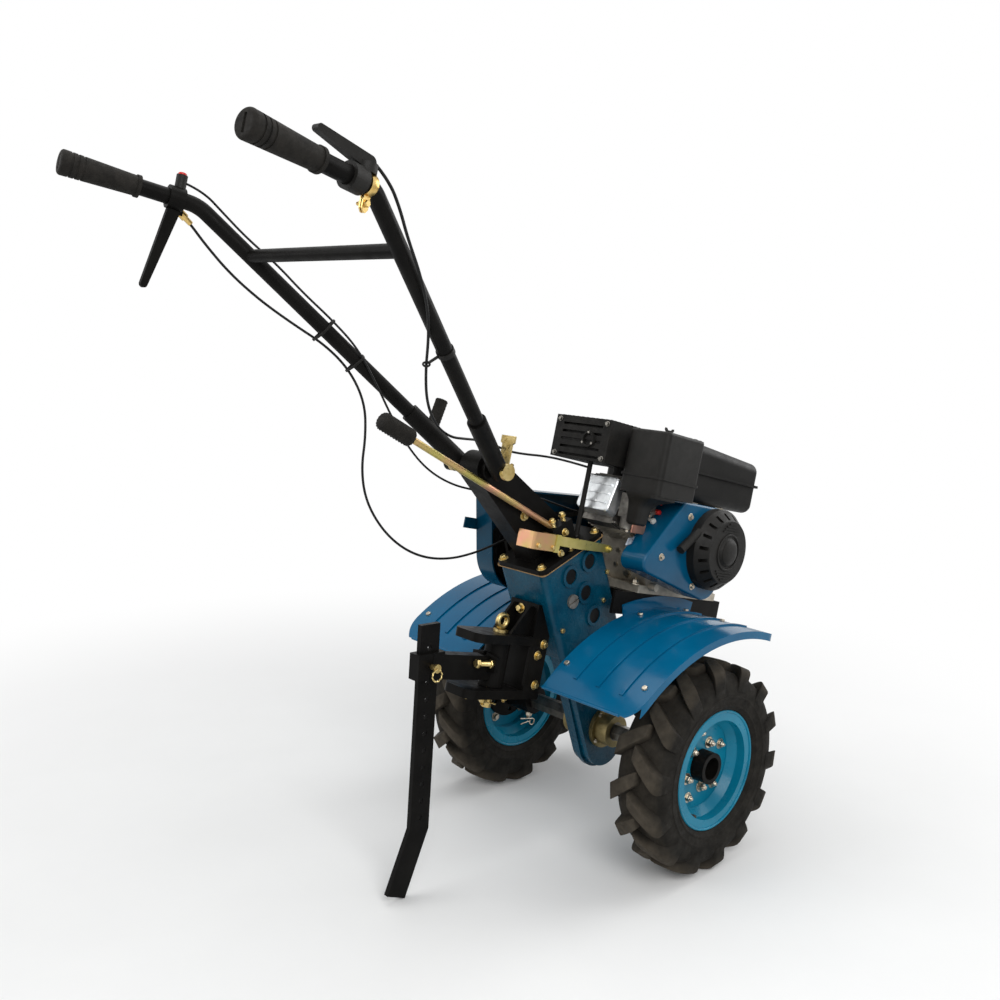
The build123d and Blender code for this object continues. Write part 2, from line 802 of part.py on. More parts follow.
# Muffler with its seam, pipe and louvred guard
muffler_fore = muffler_rear + muffler_len
muffler_left = muffler_right + muffler_w
muffler_top = muffler_foot + muffler_h
muffler_mid = (muffler_foot + muffler_top) / 2
muffler = box(muffler_rear, muffler_fore, muffler_right, muffler_left, muffler_foot, muffler_top)
muffler = fillet(muffler.edges(), muffler_round)
muffler += box(
    muffler_rear - guard_gap,
    muffler_fore + guard_gap,
    muffler_right - guard_gap,
    muffler_left + guard_gap,
    muffler_mid - muffler_seam_t / 2,
    muffler_mid + muffler_seam_t / 2,
)
pipe_x = head_x + fin_half_h * sin(tilt)
pipe = rod((pipe_x, engine_y, head_z), (pipe_x, engine_y, muffler_mid), pipe_r)
muffler += pipe - parts["cylinder_head"] - parts["engine_block"]
parts["muffler"] = muffler
guard_out = guard_gap + guard_t
guard = box(
    muffler_rear - guard_out,
    muffler_fore + guard_out,
    muffler_right - guard_out,
    muffler_left + guard_out,
    muffler_foot,
    muffler_top + guard_out,
)
guard -= box(
    muffler_rear - guard_gap,
    muffler_fore + guard_gap,
    muffler_right - guard_gap,
    muffler_left + guard_gap,
    muffler_foot,
    muffler_top + guard_gap,
)
louvre_pitch = muffler_h / louvre_count
for index in range(louvre_count):
    louvre_z = muffler_foot + (index + 0.5) * louvre_pitch
    guard -= box(
        muffler_rear - guard_out,
        muffler_rear - guard_gap,
        muffler_right + louvre_edge,
        muffler_left - louvre_edge,
        louvre_z - louvre_h / 2,
        louvre_z + louvre_h / 2,
    )
row_pitch = muffler_w / vent_rows
column_pitch = muffler_len / vent_columns
for row in range(vent_rows):
    for column in range(vent_columns):
        vent_x = muffler_rear + (column + 0.5) * column_pitch
        vent_y = muffler_right + (row + 0.5) * row_pitch
        guard -= Pos(vent_x, vent_y, muffler_top) * Box(column_pitch - louvre_edge, louvre_h, 3 * guard_out)
parts["muffler_guard"] = guard
strut_x, strut_z = lean_point(strut_u, cover_top - strut_seat)
strut = rod((strut_x, strut_y, strut_z), (strut_x, strut_y, muffler_foot + strut_sink), strut_r)
parts["muffler_strut"] = strut - parts["gearbox_cover"] - parts["muffler"]

# Belt drive: two flanged pulleys on their shafts, the belt and its pressed hood
driven_x, driven_z = lean_point(driven_u, driven_w)
belt_in = belt_y - belt_w / 2
belt_out = belt_y + belt_w / 2


def pulley(radius, shaft_from):
    """Flanged pulley with a recessed inner face, turned with its shaft."""
    return turned(
        (shaft_from, 0),
        (shaft_from, shaft_r),
        (belt_in + pulley_recess, shaft_r),
        (belt_in + pulley_recess, radius - pulley_rim),
        (belt_in, radius - pulley_rim),
        (belt_in, radius + pulley_flange),
        (belt_in + pulley_flange_t, radius + pulley_flange),
        (belt_in + pulley_flange_t, radius),
        (belt_out - pulley_flange_t, radius),
        (belt_out - pulley_flange_t, radius + pulley_flange),
        (belt_out, radius + pulley_flange),
        (belt_out, 0),
    )


def belt_outline(grow):
    """Outline around both pulleys at a distance from their faces."""
    return hull((crank_x, crank_z, drive_pulley_r + grow), (driven_x, driven_z, driven_pulley_r + grow))


def hood_outline(inset):
    """Outline of the hood, with its raised rear corner, at a distance within its edge."""
    reach = belt_t + hood_gap + hood_t - inset
    return hull(
        (crank_x, crank_z, drive_pulley_r + reach),
        (driven_x, driven_z, driven_pulley_r + reach),
        (driven_x - hood_corner_back, driven_z + hood_corner_up, hood_corner_r - inset),
    )


parts["drive_pulley"] = Pos(crank_x, 0, crank_z) * pulley(drive_pulley_r, side_cover_out)
parts["driven_pulley"] = Pos(driven_x, 0, driven_z) * pulley(driven_pulley_r, case_half_w)
track_in = belt_in + pulley_flange_t + seat_gap
track_out = belt_out - pulley_flange_t - seat_gap
belt = slab(belt_outline(seat_gap + belt_t), track_in, track_out)
parts["drive_belt"] = belt - slab(belt_outline(seat_gap), track_in, track_out)
hood_from = belt_y - hood_in
hood_to = belt_y + hood_out
hood_hollow = slab(hood_outline(hood_t), hood_from, hood_to - hood_t)
hood = slab(hood_outline(0), hood_from, hood_to) - hood_hollow
hood += slab(hood_outline(hood_pad_in), hood_to, hood_to + hood_pad_h)
hood_reach = driven_pulley_r + belt_t + hood_gap + hood_t
ear_z = driven_z + hood_ear_up
hood += box(
    driven_x - hood_reach - hood_ear_len,
    driven_x,
    hood_to - hood_t,
    hood_to,
    ear_z - hood_ear_h / 2,
    ear_z + hood_ear_h / 2,
)
spacer_reach = hood_reach - hood_t / 2
spacer_x = driven_x + spacer_reach * cos(radians(spacer_angle))
spacer_z = driven_z + spacer_reach * sin(radians(spacer_angle))
hood += across(spacer_x, spacer_z, spacer_r, case_half_w, hood_from + hood_t)
tab_half = hood_tab_w / 2
tab = box(-tab_half, tab_half, hood_from - hood_tab_w, hood_from + hood_t, bed_top, bed_top + hood_t)
tab += box(-tab_half, tab_half, hood_from, hood_from + hood_t, bed_top, crank_z)
hood += tab - hood_hollow
parts["belt_hood"] = hood
arm_x, arm_z = lean_point(clutch_pin_u, clutch_pin_w)
arm_from = case_half_w + clutch_arm_gap
arm_to = arm_from + clutch_arm_t
arm = across(arm_x, arm_z, clutch_pin_r, case_half_w, arm_to)
arm += slab(
    hull((arm_x, arm_z, clutch_pin_r + clutch_boss), (clutch_arm_x, clutch_arm_z, clutch_arm_r)),
    arm_from,
    arm_to,
)
parts["clutch_arm"] = arm

# Fenders: arched sheet with rounded outer corners, ribs, a turned-down lip and an upright inner flange


def fender_band(r_in, r_out, start, sweep, y_from, y_to):
    """Arched strip between two radii about the fender's centre."""
    outer = CenterArc((fender_cx, fender_cz), r_out, start, sweep)
    inner = CenterArc((fender_cx, fender_cz), r_in, start, sweep)
    ends = Line(outer @ 0, inner @ 0) + Line(outer @ 1, inner @ 1)
    return slab(make_face(outer + inner + ends), y_from, y_to)


fender_top_r = fender_r + fender_t
fender_to = fender_from + fender_sweep
fender_front = fender_cx + fender_top_r * cos(radians(fender_from))
fender_rear = fender_cx + fender_top_r * cos(radians(fender_to))
plan = outline(
    (fender_rear, fender_in), (fender_front, fender_in), (fender_front, fender_out), (fender_rear, fender_out)
)
plan = fillet(plan.vertices().group_by(Axis.Y)[-1], fender_round)
fender = fender_band(fender_r, fender_top_r, fender_from, fender_sweep, fender_in, fender_out)
fender += fender_band(
    fender_r - fender_lip, fender_r, fender_from, fender_sweep, fender_out - fender_t, fender_out
)
rib_pitch = (fender_out - fender_in) / (fender_rib_count + 1)
for index in range(fender_rib_count):
    rib_y = fender_in + (index + 1) * rib_pitch
    fender += fender_band(
        fender_r,
        fender_top_r + fender_rib_h,
        fender_from + fender_rib_end,
        fender_sweep - 2 * fender_rib_end,
        rib_y - fender_rib_w / 2,
        rib_y + fender_rib_w / 2,
    )
fender &= extrude(plan, amount=2 * fender_r)
for end in (fender_from, fender_to):
    bead_x = fender_cx + (fender_r + fender_t / 2) * cos(radians(end))
    bead_z = fender_cz + (fender_r + fender_t / 2) * sin(radians(end))
    fender += across(bead_x, bead_z, fender_t, fender_in, fender_out - fender_round)
fender += fender_band(
    fender_r, fender_r + fender_flange, fender_from, fender_flange_sweep, fender_in, fender_in + fender_t
)
parts["fender_left"] = fender
parts["fender_right"] = mirror(fender, Plane.XZ)

# Hitch: folded channel behind the gearbox with two jaws and a ring-headed pin
jaw_top = hitch_low + 2 * jaw_t + jaw_gap
seat_w_front = (hitch_front_low + case_rear * cos(radians(gear_lean))) / -sin(radians(gear_lean))
seat_low = lean_point(-case_rear, seat_w_front)

hitch = slab(
    outline(
        (hitch_rear, hitch_high),
        (face_x(-case_rear, hitch_high), hitch_high),
        seat_low,
        (hitch_front_low, hitch_low),
        (hitch_rear, hitch_low),
    ),
    -hitch_half_w,
    hitch_half_w,
)
channel_half = hitch_half_w - hitch_plate
hitch -= box(hitch_rear + hitch_plate, 0, -channel_half, channel_half, 0, 2 * hitch_high)
jaw = box(jaw_rear, hitch_rear, -hitch_half_w, hitch_half_w, hitch_low, hitch_low + jaw_t)
jaw = fillet(jaw.edges().filter_by(Axis.Z).group_by(Axis.X)[0], hitch_half_w / 2)
hitch += jaw
hitch += Pos(0, 0, jaw_t + jaw_gap) * jaw
pin_hole = Pos(hitch_pin_x, 0, hitch_low) * Cylinder(hitch_pin_r + run_gap, 2 * hitch_high)
parts["hitch_bracket"] = hitch - pin_hole
pin_len = hitch_pin_tail + jaw_top - hitch_low + pin_collar_t
pin_foot = hitch_low - hitch_pin_tail
pin = Pos(hitch_pin_x, 0, pin_foot) * Cylinder(hitch_pin_r, pin_len, align=upright)
pin += Pos(hitch_pin_x, 0, jaw_top) * Cylinder(pin_collar_r, pin_collar_t, align=upright)
ring_z = jaw_top + pin_collar_t + hitch_ring_r + 0.8 * hitch_ring_wire
pin += Pos(hitch_pin_x, 0, ring_z) * Rot(90, 0, 0) * Torus(hitch_ring_r, hitch_ring_wire)
parts["hitch_pin"] = pin

# Drawbar: eye on the hitch pin, bar, and the leaning sleeve that holds the stake
eye_foot = hitch_low + jaw_t + eye_play
eye_h = jaw_gap - 2 * eye_play
bar_foot = hitch_low + jaw_t + bar_lift
bar_mid = bar_foot + bar_h / 2
at_stake = Pos(stake_x, 0, bar_mid) * Rot(0, -stake_lean, 0)
slot_x = stake_w / 2 + seat_gap
slot_y = stake_t / 2 + seat_gap
drawbar = Pos(hitch_pin_x, 0, eye_foot) * Cylinder(eye_r, eye_h, align=upright)
drawbar += box(stake_x, hitch_pin_x, -bar_half_w, bar_half_w, bar_foot, bar_foot + bar_h)
drawbar += at_stake * Box(2 * (slot_x + sleeve_wall), 2 * (slot_y + sleeve_wall), sleeve_h)
drawbar -= at_stake * Box(2 * slot_x, 2 * slot_y, 2 * sleeve_h)
drawbar -= at_stake * Pos(-slot_x - sleeve_wall - stake_w, 0, 0) * Box(2 * stake_w, stake_w, 2 * sleeve_h)
drawbar -= pin_hole
stake_hole = across(0, 0, stake_hole_r, -stake_w, stake_w)
parts["drawbar"] = drawbar - at_stake * stake_hole

# Stake: flat bar with a row of holes and a kicked-back toe, held by a headed pin
kick = radians(stake_kick)
half_stake = stake_w / 2
miter = half_stake * tan(kick / 2)
toe_x = -stake_toe * sin(kick)
toe_z = -stake_down - stake_toe * cos(kick)
stake_line = outline(
    (half_stake, stake_up),
    (half_stake, -stake_down - miter),
    (toe_x + half_stake * cos(kick), toe_z - half_stake * sin(kick)),
    (toe_x - half_stake * cos(kick), toe_z + half_stake * sin(kick)),
    (-half_stake, miter - stake_down),
    (-half_stake, stake_up),
)
stake = slab(stake_line, -stake_t / 2, stake_t / 2)
for index in range(stake_hole_count):
    stake -= Pos(0, 0, (1 - index) * stake_hole_pitch) * stake_hole
parts["stake"] = at_stake * stake
pin_half = slot_y + sleeve_wall + stake_pin_tail
stake_pin = across(0, 0, stake_hole_r - seat_gap, -pin_half, pin_half)
stake_pin += across(0, 0, stake_pin_head_r, -pin_half - stake_pin_head_t, -pin_half)
parts["stake_pin"] = at_stake * stake_pin

# Column: wedge-shaped bracket on the gearbox cover with an eye for the handlebar
foot_top = cover_top + column_foot_t
column = leaned(box(column_rear, column_front, -column_foot_half, column_foot_half, cover_top, foot_top))
toe_r = column_foot_t / 2
column += slab(
    hull(
        (pivot_x, pivot_z, column_eye_r),
        (column_brow_x, column_brow_z, column_brow_r),
        (*lean_point(column_rear + toe_r, foot_top - toe_r), toe_r),
        (*lean_point(column_front - toe_r, foot_top - toe_r), toe_r),
    ),
    -column_half_w,
    column_half_w,
)
parts["column"] = column - across(pivot_x, pivot_z, pivot_bolt_r + run_gap, -column_half_w, column_half_w)

# Handlebar: yoke of two sleeves on the pivot bolt, two bent tubes and a cross tube
cheek_from = column_half_w + cheek_play
cheek_to = cheek_from + cheek_t
tube_y = cheek_to + sleeve_r - tube_nest
bolt_out = tube_y + sleeve_r + pivot_washer
tube_line = Vector(-bar_back, bar_spread, bar_rise)
tube_dir = tube_line.normalized()
tube_foot = Vector(pivot_x, tube_y, pivot_z)
bend_point = tube_foot + tube_line * ((grip_z - pivot_z) / bar_rise)
grip_end = Vector(grip_x, grip_y, grip_z)
grip_dir = (grip_end - bend_point).normalized()
tube_from = tube_foot + tube_dir * tube_run_in
tube_path = FilletPolyline(tube_from, bend_point, grip_end - grip_dir * grip_cap, radius=bend_r)
tube_start = Plane(origin=tube_from, z_dir=tube_dir)
tube_solid = sweep(tube_start * Circle(tube_r), path=tube_path)
tube_core = sweep(tube_start * Circle(tube_r - tube_wall), path=tube_path)
cross_at = tube_foot + tube_line * cross_share
cross = across(cross_at.X, cross_at.Z, cross_r, -cross_at.Y, cross_at.Y)
tubes = tube_solid + mirror(tube_solid, Plane.XZ) + cross
parts["handlebar_tubes"] = tubes - tube_core - mirror(tube_core, Plane.XZ)
sleeve_end = tube_foot + tube_dir * sleeve_len
sleeve_start = tube_foot - tube_dir * cheek_t
yoke_side = across(pivot_x, pivot_z, cheek_r, cheek_from, cheek_to)
yoke_side += rod(sleeve_start, sleeve_end, sleeve_r)
yoke_side -= box(2 * pivot_x, 0, 0, cheek_from, 0, 2 * pivot_z)
yoke_side -= rod(tube_from, sleeve_end, tube_r + seat_gap)
yoke_side -= across(pivot_x, pivot_z, pivot_bolt_r + run_gap, cheek_from, 2 * bolt_out)
yoke_side -= across(pivot_x, pivot_z, pivot_head_r + seat_gap, bolt_out, 2 * bolt_out)
parts["handlebar_yoke"] = Compound(children=[yoke_side, mirror(yoke_side, Plane.XZ)])
bolt_end = bolt_out + pivot_head_t
bolt = across(pivot_x, pivot_z, pivot_bolt_r, -bolt_end, bolt_end)
bolt += across(pivot_x, pivot_z, pivot_head_r, bolt_out, bolt_end)
bolt += across(pivot_x, pivot_z, pivot_head_r, -bolt_end, -bolt_out)
parts["pivot_bolt"] = bolt


def grip_point(x):
    """Point of the left handle's level run at a given x."""
    share = (x - bend_point.X) / (grip_end.X - bend_point.X)
    return bend_point + (grip_end - bend_point) * share


# Rubber grips that widen to a rounded, slotted end, with grooves and a collar
grip_start = grip_end - grip_dir * grip_len
at_grip = Plane(origin=grip_start, z_dir=grip_dir)
on_foot = (Align.CENTER, Align.CENTER, Align.MIN)
grip = Cone(grip_r, grip_end_r, grip_len, align=on_foot)
grip = fillet(grip.edges().sort_by(Axis.Z)[-1], grip_round)
grip += Cylinder(grip_r + grip_collar_h, grip_collar_w, align=on_foot)
for index in range(grip_groove_count):
    groove_z = grip_len - (index + 2) * grip_groove_pitch
    groove_r = grip_r + (grip_end_r - grip_r) * groove_z / grip_len - grip_groove_d
    groove = Cylinder(2 * grip_end_r, grip_groove_w, align=on_foot)
    groove -= Cylinder(groove_r, grip_groove_w, align=on_foot)
    grip -= Pos(0, 0, groove_z) * groove
grip -= Pos(0, 0, grip_len) * Box(grip_slot_w, grip_slot_len, grip_cap)
grip = at_grip * grip
grip -= rod(grip_start, grip_end - grip_dir * (grip_cap - seat_gap), tube_r + seat_gap)
parts["grip_left"] = grip
parts["grip_right"] = mirror(grip, Plane.XZ)


def handle_bore(x):
    """Cut for the handle tube through what is clamped to it."""
    middle = grip_point(x)
    return rod(middle - grip_dir * perch_cut, middle + grip_dir * perch_cut, tube_r + seat_gap)


def perch(x):
    """Band around the left handle tube, still without its bore."""
    middle = grip_point(x)
    half = grip_dir * (lever_perch_len / 2)
    return rod(middle - half, middle + half, tube_r + lever_perch_wall)


# Clutch lever hangs under the left handle, with the stop switch on its perch
perch_at = grip_point(clutch_perch_x)
root_z = perch_at.Z - tube_r - lever_perch_wall
clutch = perch(clutch_perch_x)
clutch += slab(
    hull(
        (clutch_perch_x, root_z, clutch_lever_root_r),
        (clutch_perch_x - clutch_lever_back, root_z - clutch_lever_drop, clutch_lever_tip_r),
    ),
    perch_at.Y - lever_t / 2,
    perch_at.Y + lever_t / 2,
)
switch_at = grip_point(switch_x)
switch = Pos(switch_at.X, switch_at.Y, switch_at.Z + tube_r) * Cylinder(switch_r, switch_h, align=upright)
switch -= rod(
    perch_at - grip_dir * perch_cut, perch_at + grip_dir * perch_cut, tube_r + lever_perch_wall + seat_gap
)
parts["stop_switch"] = switch

# Throttle lever lies on the right handle
thumb_at = grip_point(throttle_body_x)
thumb_z = thumb_at.Z + tube_r
throttle = perch(throttle_perch_x)
throttle += Pos(thumb_at.X, thumb_at.Y, thumb_z) * Cylinder(throttle_body_r, throttle_body_h, align=upright)
throttle += slab(
    hull(
        (throttle_body_x, thumb_z + throttle_body_h, 2 * throttle_tip_r),
        (throttle_body_x - throttle_reach, thumb_z + throttle_body_h + throttle_rise, throttle_tip_r),
    ),
    thumb_at.Y - lever_t,
    thumb_at.Y + lever_t,
)
parts["throttle_lever"] = mirror(throttle - handle_bore(throttle_perch_x), Plane.XZ)

# Gear lever: straight rod from its knob to the block and folded gate beside the column
shift_to = Vector(shift_low)
shift_from = Vector(shift_high)
shift_dir = (shift_from - shift_to).normalized()
parts["gear_lever"] = rod(shift_to, shift_from, shift_rod_r)
knob_from = shift_from - shift_dir * (knob_len / 4)
knob = rod(knob_from, knob_from + shift_dir * knob_len, knob_r)
knob = fillet(knob.edges(), knob_round)
parts["gear_knob"] = knob - rod(knob_from, shift_from, shift_rod_r + seat_gap)
bracket = leaned(
    box(
        shift_block_rear,
        shift_block_front,
        shift_block_right,
        shift_block_left,
        cover_top,
        cover_top + shift_block_h,
    )
)
gate_out = gate_y - gate_t
gate_arm_z = gate_high - gate_arm_r - gate_arm_drop
bracket += slab(
    outline((gate_rear, gate_low), (gate_front, gate_low), (gate_front, gate_high), (gate_rear, gate_high)),
    gate_out,
    gate_y,
)
bracket += box(gate_rear, gate_rear + gate_t, gate_out, -column_half_w, gate_low, gate_high)
bracket += box(gate_front - gate_t, gate_front, gate_out, -column_half_w, gate_low, gate_high)
bracket += slab(
    hull((gate_front, gate_arm_z, gate_arm_r), (gate_arm_x, gate_arm_z, gate_arm_r)), gate_out, gate_y
)
link_x = lean_point((shift_block_rear + shift_block_front) / 2, cover_top + shift_block_h / 2)[0]
bracket += across(link_x, gate_arm_z, gate_link_r, gate_y - gate_t / 2, shift_block_right)
parts["shift_bracket"] = bracket - rod(shift_to, shift_from, shift_rod_r + seat_gap)

# Clamp lever that locks the handlebar's height, on the left end of the pivot bolt
knee = Vector(clamp_knee)
clamp_end = Vector(clamp_top)
clamp_dir = (clamp_end - knee).normalized()
clamp = across(pivot_x, pivot_z, pivot_head_r, bolt_end, bolt_end + 2 * clamp_rod_r)
clamp += rod((pivot_x, bolt_end + clamp_rod_r, pivot_z), knee, clamp_rod_r)
clamp += Pos(*knee) * Sphere(clamp_rod_r)
clamp += rod(knee, clamp_end, clamp_rod_r)
parts["clamp_lever"] = clamp
clamp_grip_to = clamp_end + clamp_dir * clamp_grip_cap
clamp_grip_from = clamp_grip_to - clamp_dir * clamp_grip_len
clamp_grip = rod(clamp_grip_from, clamp_grip_to, clamp_grip_r)
clamp_grip -= rod(clamp_grip_from, clamp_end, clamp_rod_r + seat_gap)
parts["clamp_grip"] = clamp_grip

# Cables: outer sheaths clipped to the handlebar that hang free above the machine
clutch_points = [
    (-1004, 258, 797), (-985, 257, 786), (-952, 251, 758), (-905, 238, 722), (-852, 216, 690),
    (-796, 191, 664), (-738, 164, 640), (-690, 146, 606), (-655, 133, 556), (-644, 127, 498),
    (-644, 122, 442), (-626, 117, 388), (-584, 112, 342), (-532, 107, 311), (-474, 103, 297),
    (-415, 97, 301), (-360, 91, 319), (-316, 84, 342), (-294.5, 80.5, 354),
]
stop_points = [
    (-1010, 240, 840), (-976, 243, 838), (-936, 240, 815), (-893, 224, 785), (-843, 198, 754),
    (-800, 172, 718), (-750, 145, 684), (-705, 116, 645), (-665, 98, 592), (-622, 98, 546),
    (-573, 98, 499), (-520, 92, 462), (-460, 85, 443), (-400, 76, 440), (-340, 72, 446),
    (-280, 70, 452), (-220, 66, 448), (-160, 60, 440), (-105, 52, 434), (-60, 42, 431),
    (-26, 33, 430),
]
throttle_points = [
    (-988, -243, 838), (-966, -247, 824), (-938, -242, 798), (-905, -228, 768), (-858, -212, 729),
    (-815, -190, 690), (-775, -155, 655), (-742, -122, 612), (-712, -103, 566), (-668, -84, 534),
    (-615, -64, 522), (-560, -40, 526), (-505, -18, 531), (-448, 4, 530), (-390, 22, 525),
    (-335, 32, 527), (-285, 26, 532), (-246, 4, 532), (-208.5, -21, 528),
]
cords = {
    "clutch_cable": cord(clutch_points, cable_r),
    "stop_wire": cord(stop_points, wire_r),
    "throttle_cable": cord(throttle_points, cable_r),
}
gland_w = 2 * gland_half
clutch += Pos(*clutch_points[0]) * Pos(-gland_half / 2, 0, 0) * Box(gland_w, gland_w, gland_w)
parts["clutch_lever"] = clutch - handle_bore(clutch_perch_x)


def parked_height(degrees_down):
    """Stake's lowest point above the wheels' lowest point at a pitch."""
    turn = Rot(0, degrees_down, 0)
    return (turn * parts["stake"]).bounding_box().min.Z - (turn * parts["tyre_left"]).bounding_box().min.Z


# Parking pitch at which wheels and stake share the ground
pitch_low = 0.0
pitch_high = 40.0
for attempt in range(30):
    pitch = (pitch_low + pitch_high) / 2
    if parked_height(pitch) < 0:
        pitch_low = pitch
    else:
        pitch_high = pitch
pitched = Rot(0, pitch, 0)
boxes = [(pitched * shape).bounding_box() for shape in parts.values()]
x_low = min(one.min.X for one in boxes)
x_high = max(one.max.X for one in boxes)
ground = min(one.min.Z for one in boxes)
shift = (-(x_low + x_high) / 2, 0, -ground)
park = Pos(*shift) * pitched
print("pitch", round(pitch, 4), "shift", shift)

parts.update(cords)
os.makedirs("parts", exist_ok=True)
for node, shape in parts.items():
    placed = park * shape
    if not placed.is_valid:
        print("check the shape of", node)
    export_step(placed, f"parts/{node}.step")


def row_point(x, y, z):
    """Point of the level machine in the parked frame, in metres."""
    turn = radians(pitch)
    across_x = x * cos(turn) + z * sin(turn) + shift[0]
    up_z = z * cos(turn) - x * sin(turn) + shift[2]
    return round(across_x / 1000, 6), round(y / 1000, 6), round(up_z / 1000, 6)


hitch_axis = (round(sin(radians(pitch)), 6), 0, round(cos(radians(pitch)), 6))
print("axle at", row_point(0, 0, 0))
print("handlebar pivot at", row_point(pivot_x, 0, pivot_z))
print("hitch pin at", row_point(hitch_pin_x, 0, bar_mid), "along", hitch_axis)
print("wheel disc at", row_point(0, half_track + disc_s + rim_sheet / 2, 0))
print("length", round(x_high - x_low, 1), "width", round(wheel_track + tyre_w, 1))
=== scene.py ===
import json
from math import asin, cos, pi, radians, sin, tan

import bmesh
import bpy
from mathutils import Matrix, Vector
from mathutils.geometry import convex_hull_2d


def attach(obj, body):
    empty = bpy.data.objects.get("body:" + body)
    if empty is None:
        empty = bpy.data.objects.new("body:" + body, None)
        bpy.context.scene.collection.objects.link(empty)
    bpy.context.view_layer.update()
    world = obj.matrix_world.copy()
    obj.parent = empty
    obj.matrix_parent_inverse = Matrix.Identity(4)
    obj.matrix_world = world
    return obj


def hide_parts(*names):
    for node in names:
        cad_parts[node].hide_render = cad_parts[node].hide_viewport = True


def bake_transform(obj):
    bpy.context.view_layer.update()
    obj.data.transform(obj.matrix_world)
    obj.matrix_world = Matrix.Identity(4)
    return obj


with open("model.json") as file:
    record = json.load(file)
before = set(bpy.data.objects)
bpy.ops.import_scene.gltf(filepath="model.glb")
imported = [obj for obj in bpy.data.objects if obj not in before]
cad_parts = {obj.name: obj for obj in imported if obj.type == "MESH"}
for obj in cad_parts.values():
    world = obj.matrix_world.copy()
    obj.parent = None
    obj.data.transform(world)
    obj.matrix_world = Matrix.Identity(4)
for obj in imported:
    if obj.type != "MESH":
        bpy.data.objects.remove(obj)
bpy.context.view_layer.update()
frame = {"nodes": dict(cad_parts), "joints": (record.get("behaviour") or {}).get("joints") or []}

scene = bpy.context.scene

# Photo studio: a pale paper floor, one large soft lamp over the right shoulder with weaker
# ones round it, and a white surround that shows to the lens and in polished metal. The
# camera stands where the photo's own camera was found to stand.
scene.view_settings.view_transform = "Standard"
surround = bpy.data.worlds.new("surround")
scene.world = surround
surround.use_nodes = True
sky = surround.node_tree
sky.nodes.clear()


def node(tree, kind, operation=None, **values):
    """Adds a shader node to a tree, with its operation and what its named inputs start from."""
    made = tree.nodes.new("ShaderNode" + kind)
    if operation:
        made.operation = operation
    for name, value in values.items():
        made.inputs[name.replace("_", " ")].default_value = value
    return made


backdrop = node(sky, "Background", Color=(1.0, 1.0, 1.0, 1.0))
ambient = node(sky, "Background", Color=(0.95, 0.97, 1.0, 1.0), Strength=0.34)
rays = node(sky, "LightPath")
camera_or_metal = node(sky, "Math", "MAXIMUM")
or_glass = node(sky, "Math", "MAXIMUM")
choose = node(sky, "MixShader")
shown = node(sky, "OutputWorld")
sky.links.new(rays.outputs["Is Camera Ray"], camera_or_metal.inputs[0])
sky.links.new(rays.outputs["Is Glossy Ray"], camera_or_metal.inputs[1])
sky.links.new(camera_or_metal.outputs[0], or_glass.inputs[0])
sky.links.new(rays.outputs["Is Transmission Ray"], or_glass.inputs[1])
sky.links.new(or_glass.outputs[0], choose.inputs[0])
sky.links.new(ambient.outputs[0], choose.inputs[1])
sky.links.new(backdrop.outputs[0], choose.inputs[2])
sky.links.new(choose.outputs[0], shown.inputs[0])

lamp_aim = Vector((0.0, 0.0, 0.5))
for lamp_name, place, watts, size in (
    ("key_lamp", (-1.4, -2.7, 2.7), 80.0, 2.2),
    ("fill_lamp", (-2.6, 1.4, 1.9), 30.0, 2.0),
    ("nose_lamp", (2.6, -0.9, 1.7), 30.0, 1.8),
    ("top_lamp", (0.1, 0.5, 3.4), 36.0, 2.6),
):
    lamp = bpy.data.objects.new(lamp_name, bpy.data.lights.new(lamp_name, "AREA"))
    lamp.data.energy = watts
    lamp.data.size = size
    lamp.location = place
    lamp.rotation_euler = (lamp_aim - lamp.location).to_track_quat("-Z", "Y").to_euler()
    scene.collection.objects.link(lamp)


def surface(name, dark, light, grain, rough, metal=0.0, shine=0.5, bump=(400.0, 0.0), coat=0.0):
    """A finish whose tone, sheen and fine relief all vary over the surface."""
    material = bpy.data.materials.new(name)
    material.use_nodes = True
    tree = material.node_tree
    shader = tree.nodes["Principled BSDF"]
    shader.inputs["Metallic"].default_value = metal
    shader.inputs["Specular IOR Level"].default_value = shine
    shader.inputs["Coat Weight"].default_value = coat
    shader.inputs["Coat Roughness"].default_value = 0.06
    coords = node(tree, "TexCoord")
    for socket, scale, detail in (("Base Color", grain, 9.0), ("Roughness", 3.1 * grain, 5.0)):
        mottle = node(tree, "TexNoise", Scale=scale, Detail=detail, Roughness=0.62)
        spread = node(tree, "MapRange", From_Min=0.34, From_Max=0.66)
        tree.links.new(coords.outputs["Object"], mottle.inputs["Vector"])
        tree.links.new(mottle.outputs[0], spread.inputs["Value"])
        if socket == "Base Color":
            tint = node(tree, "Mix")
            tint.data_type = "RGBA"
            tint.inputs[6].default_value = (*dark, 1.0)
            tint.inputs[7].default_value = (*light, 1.0)
            tree.links.new(spread.outputs[0], tint.inputs[0])
            tree.links.new(tint.outputs[2], shader.inputs[socket])
        else:
            spread.inputs["To Min"].default_value = rough[0]
            spread.inputs["To Max"].default_value = rough[1]
            tree.links.new(spread.outputs[0], shader.inputs[socket])
    if bump[1]:
        relief = node(tree, "TexNoise", Scale=bump[0], Detail=4.0)
        raised = node(tree, "Bump", Strength=0.6, Distance=bump[1])
        tree.links.new(coords.outputs["Object"], relief.inputs["Vector"])
        tree.links.new(relief.outputs[0], raised.inputs["Height"])
        tree.links.new(raised.outputs[0], shader.inputs["Normal"])
    return material


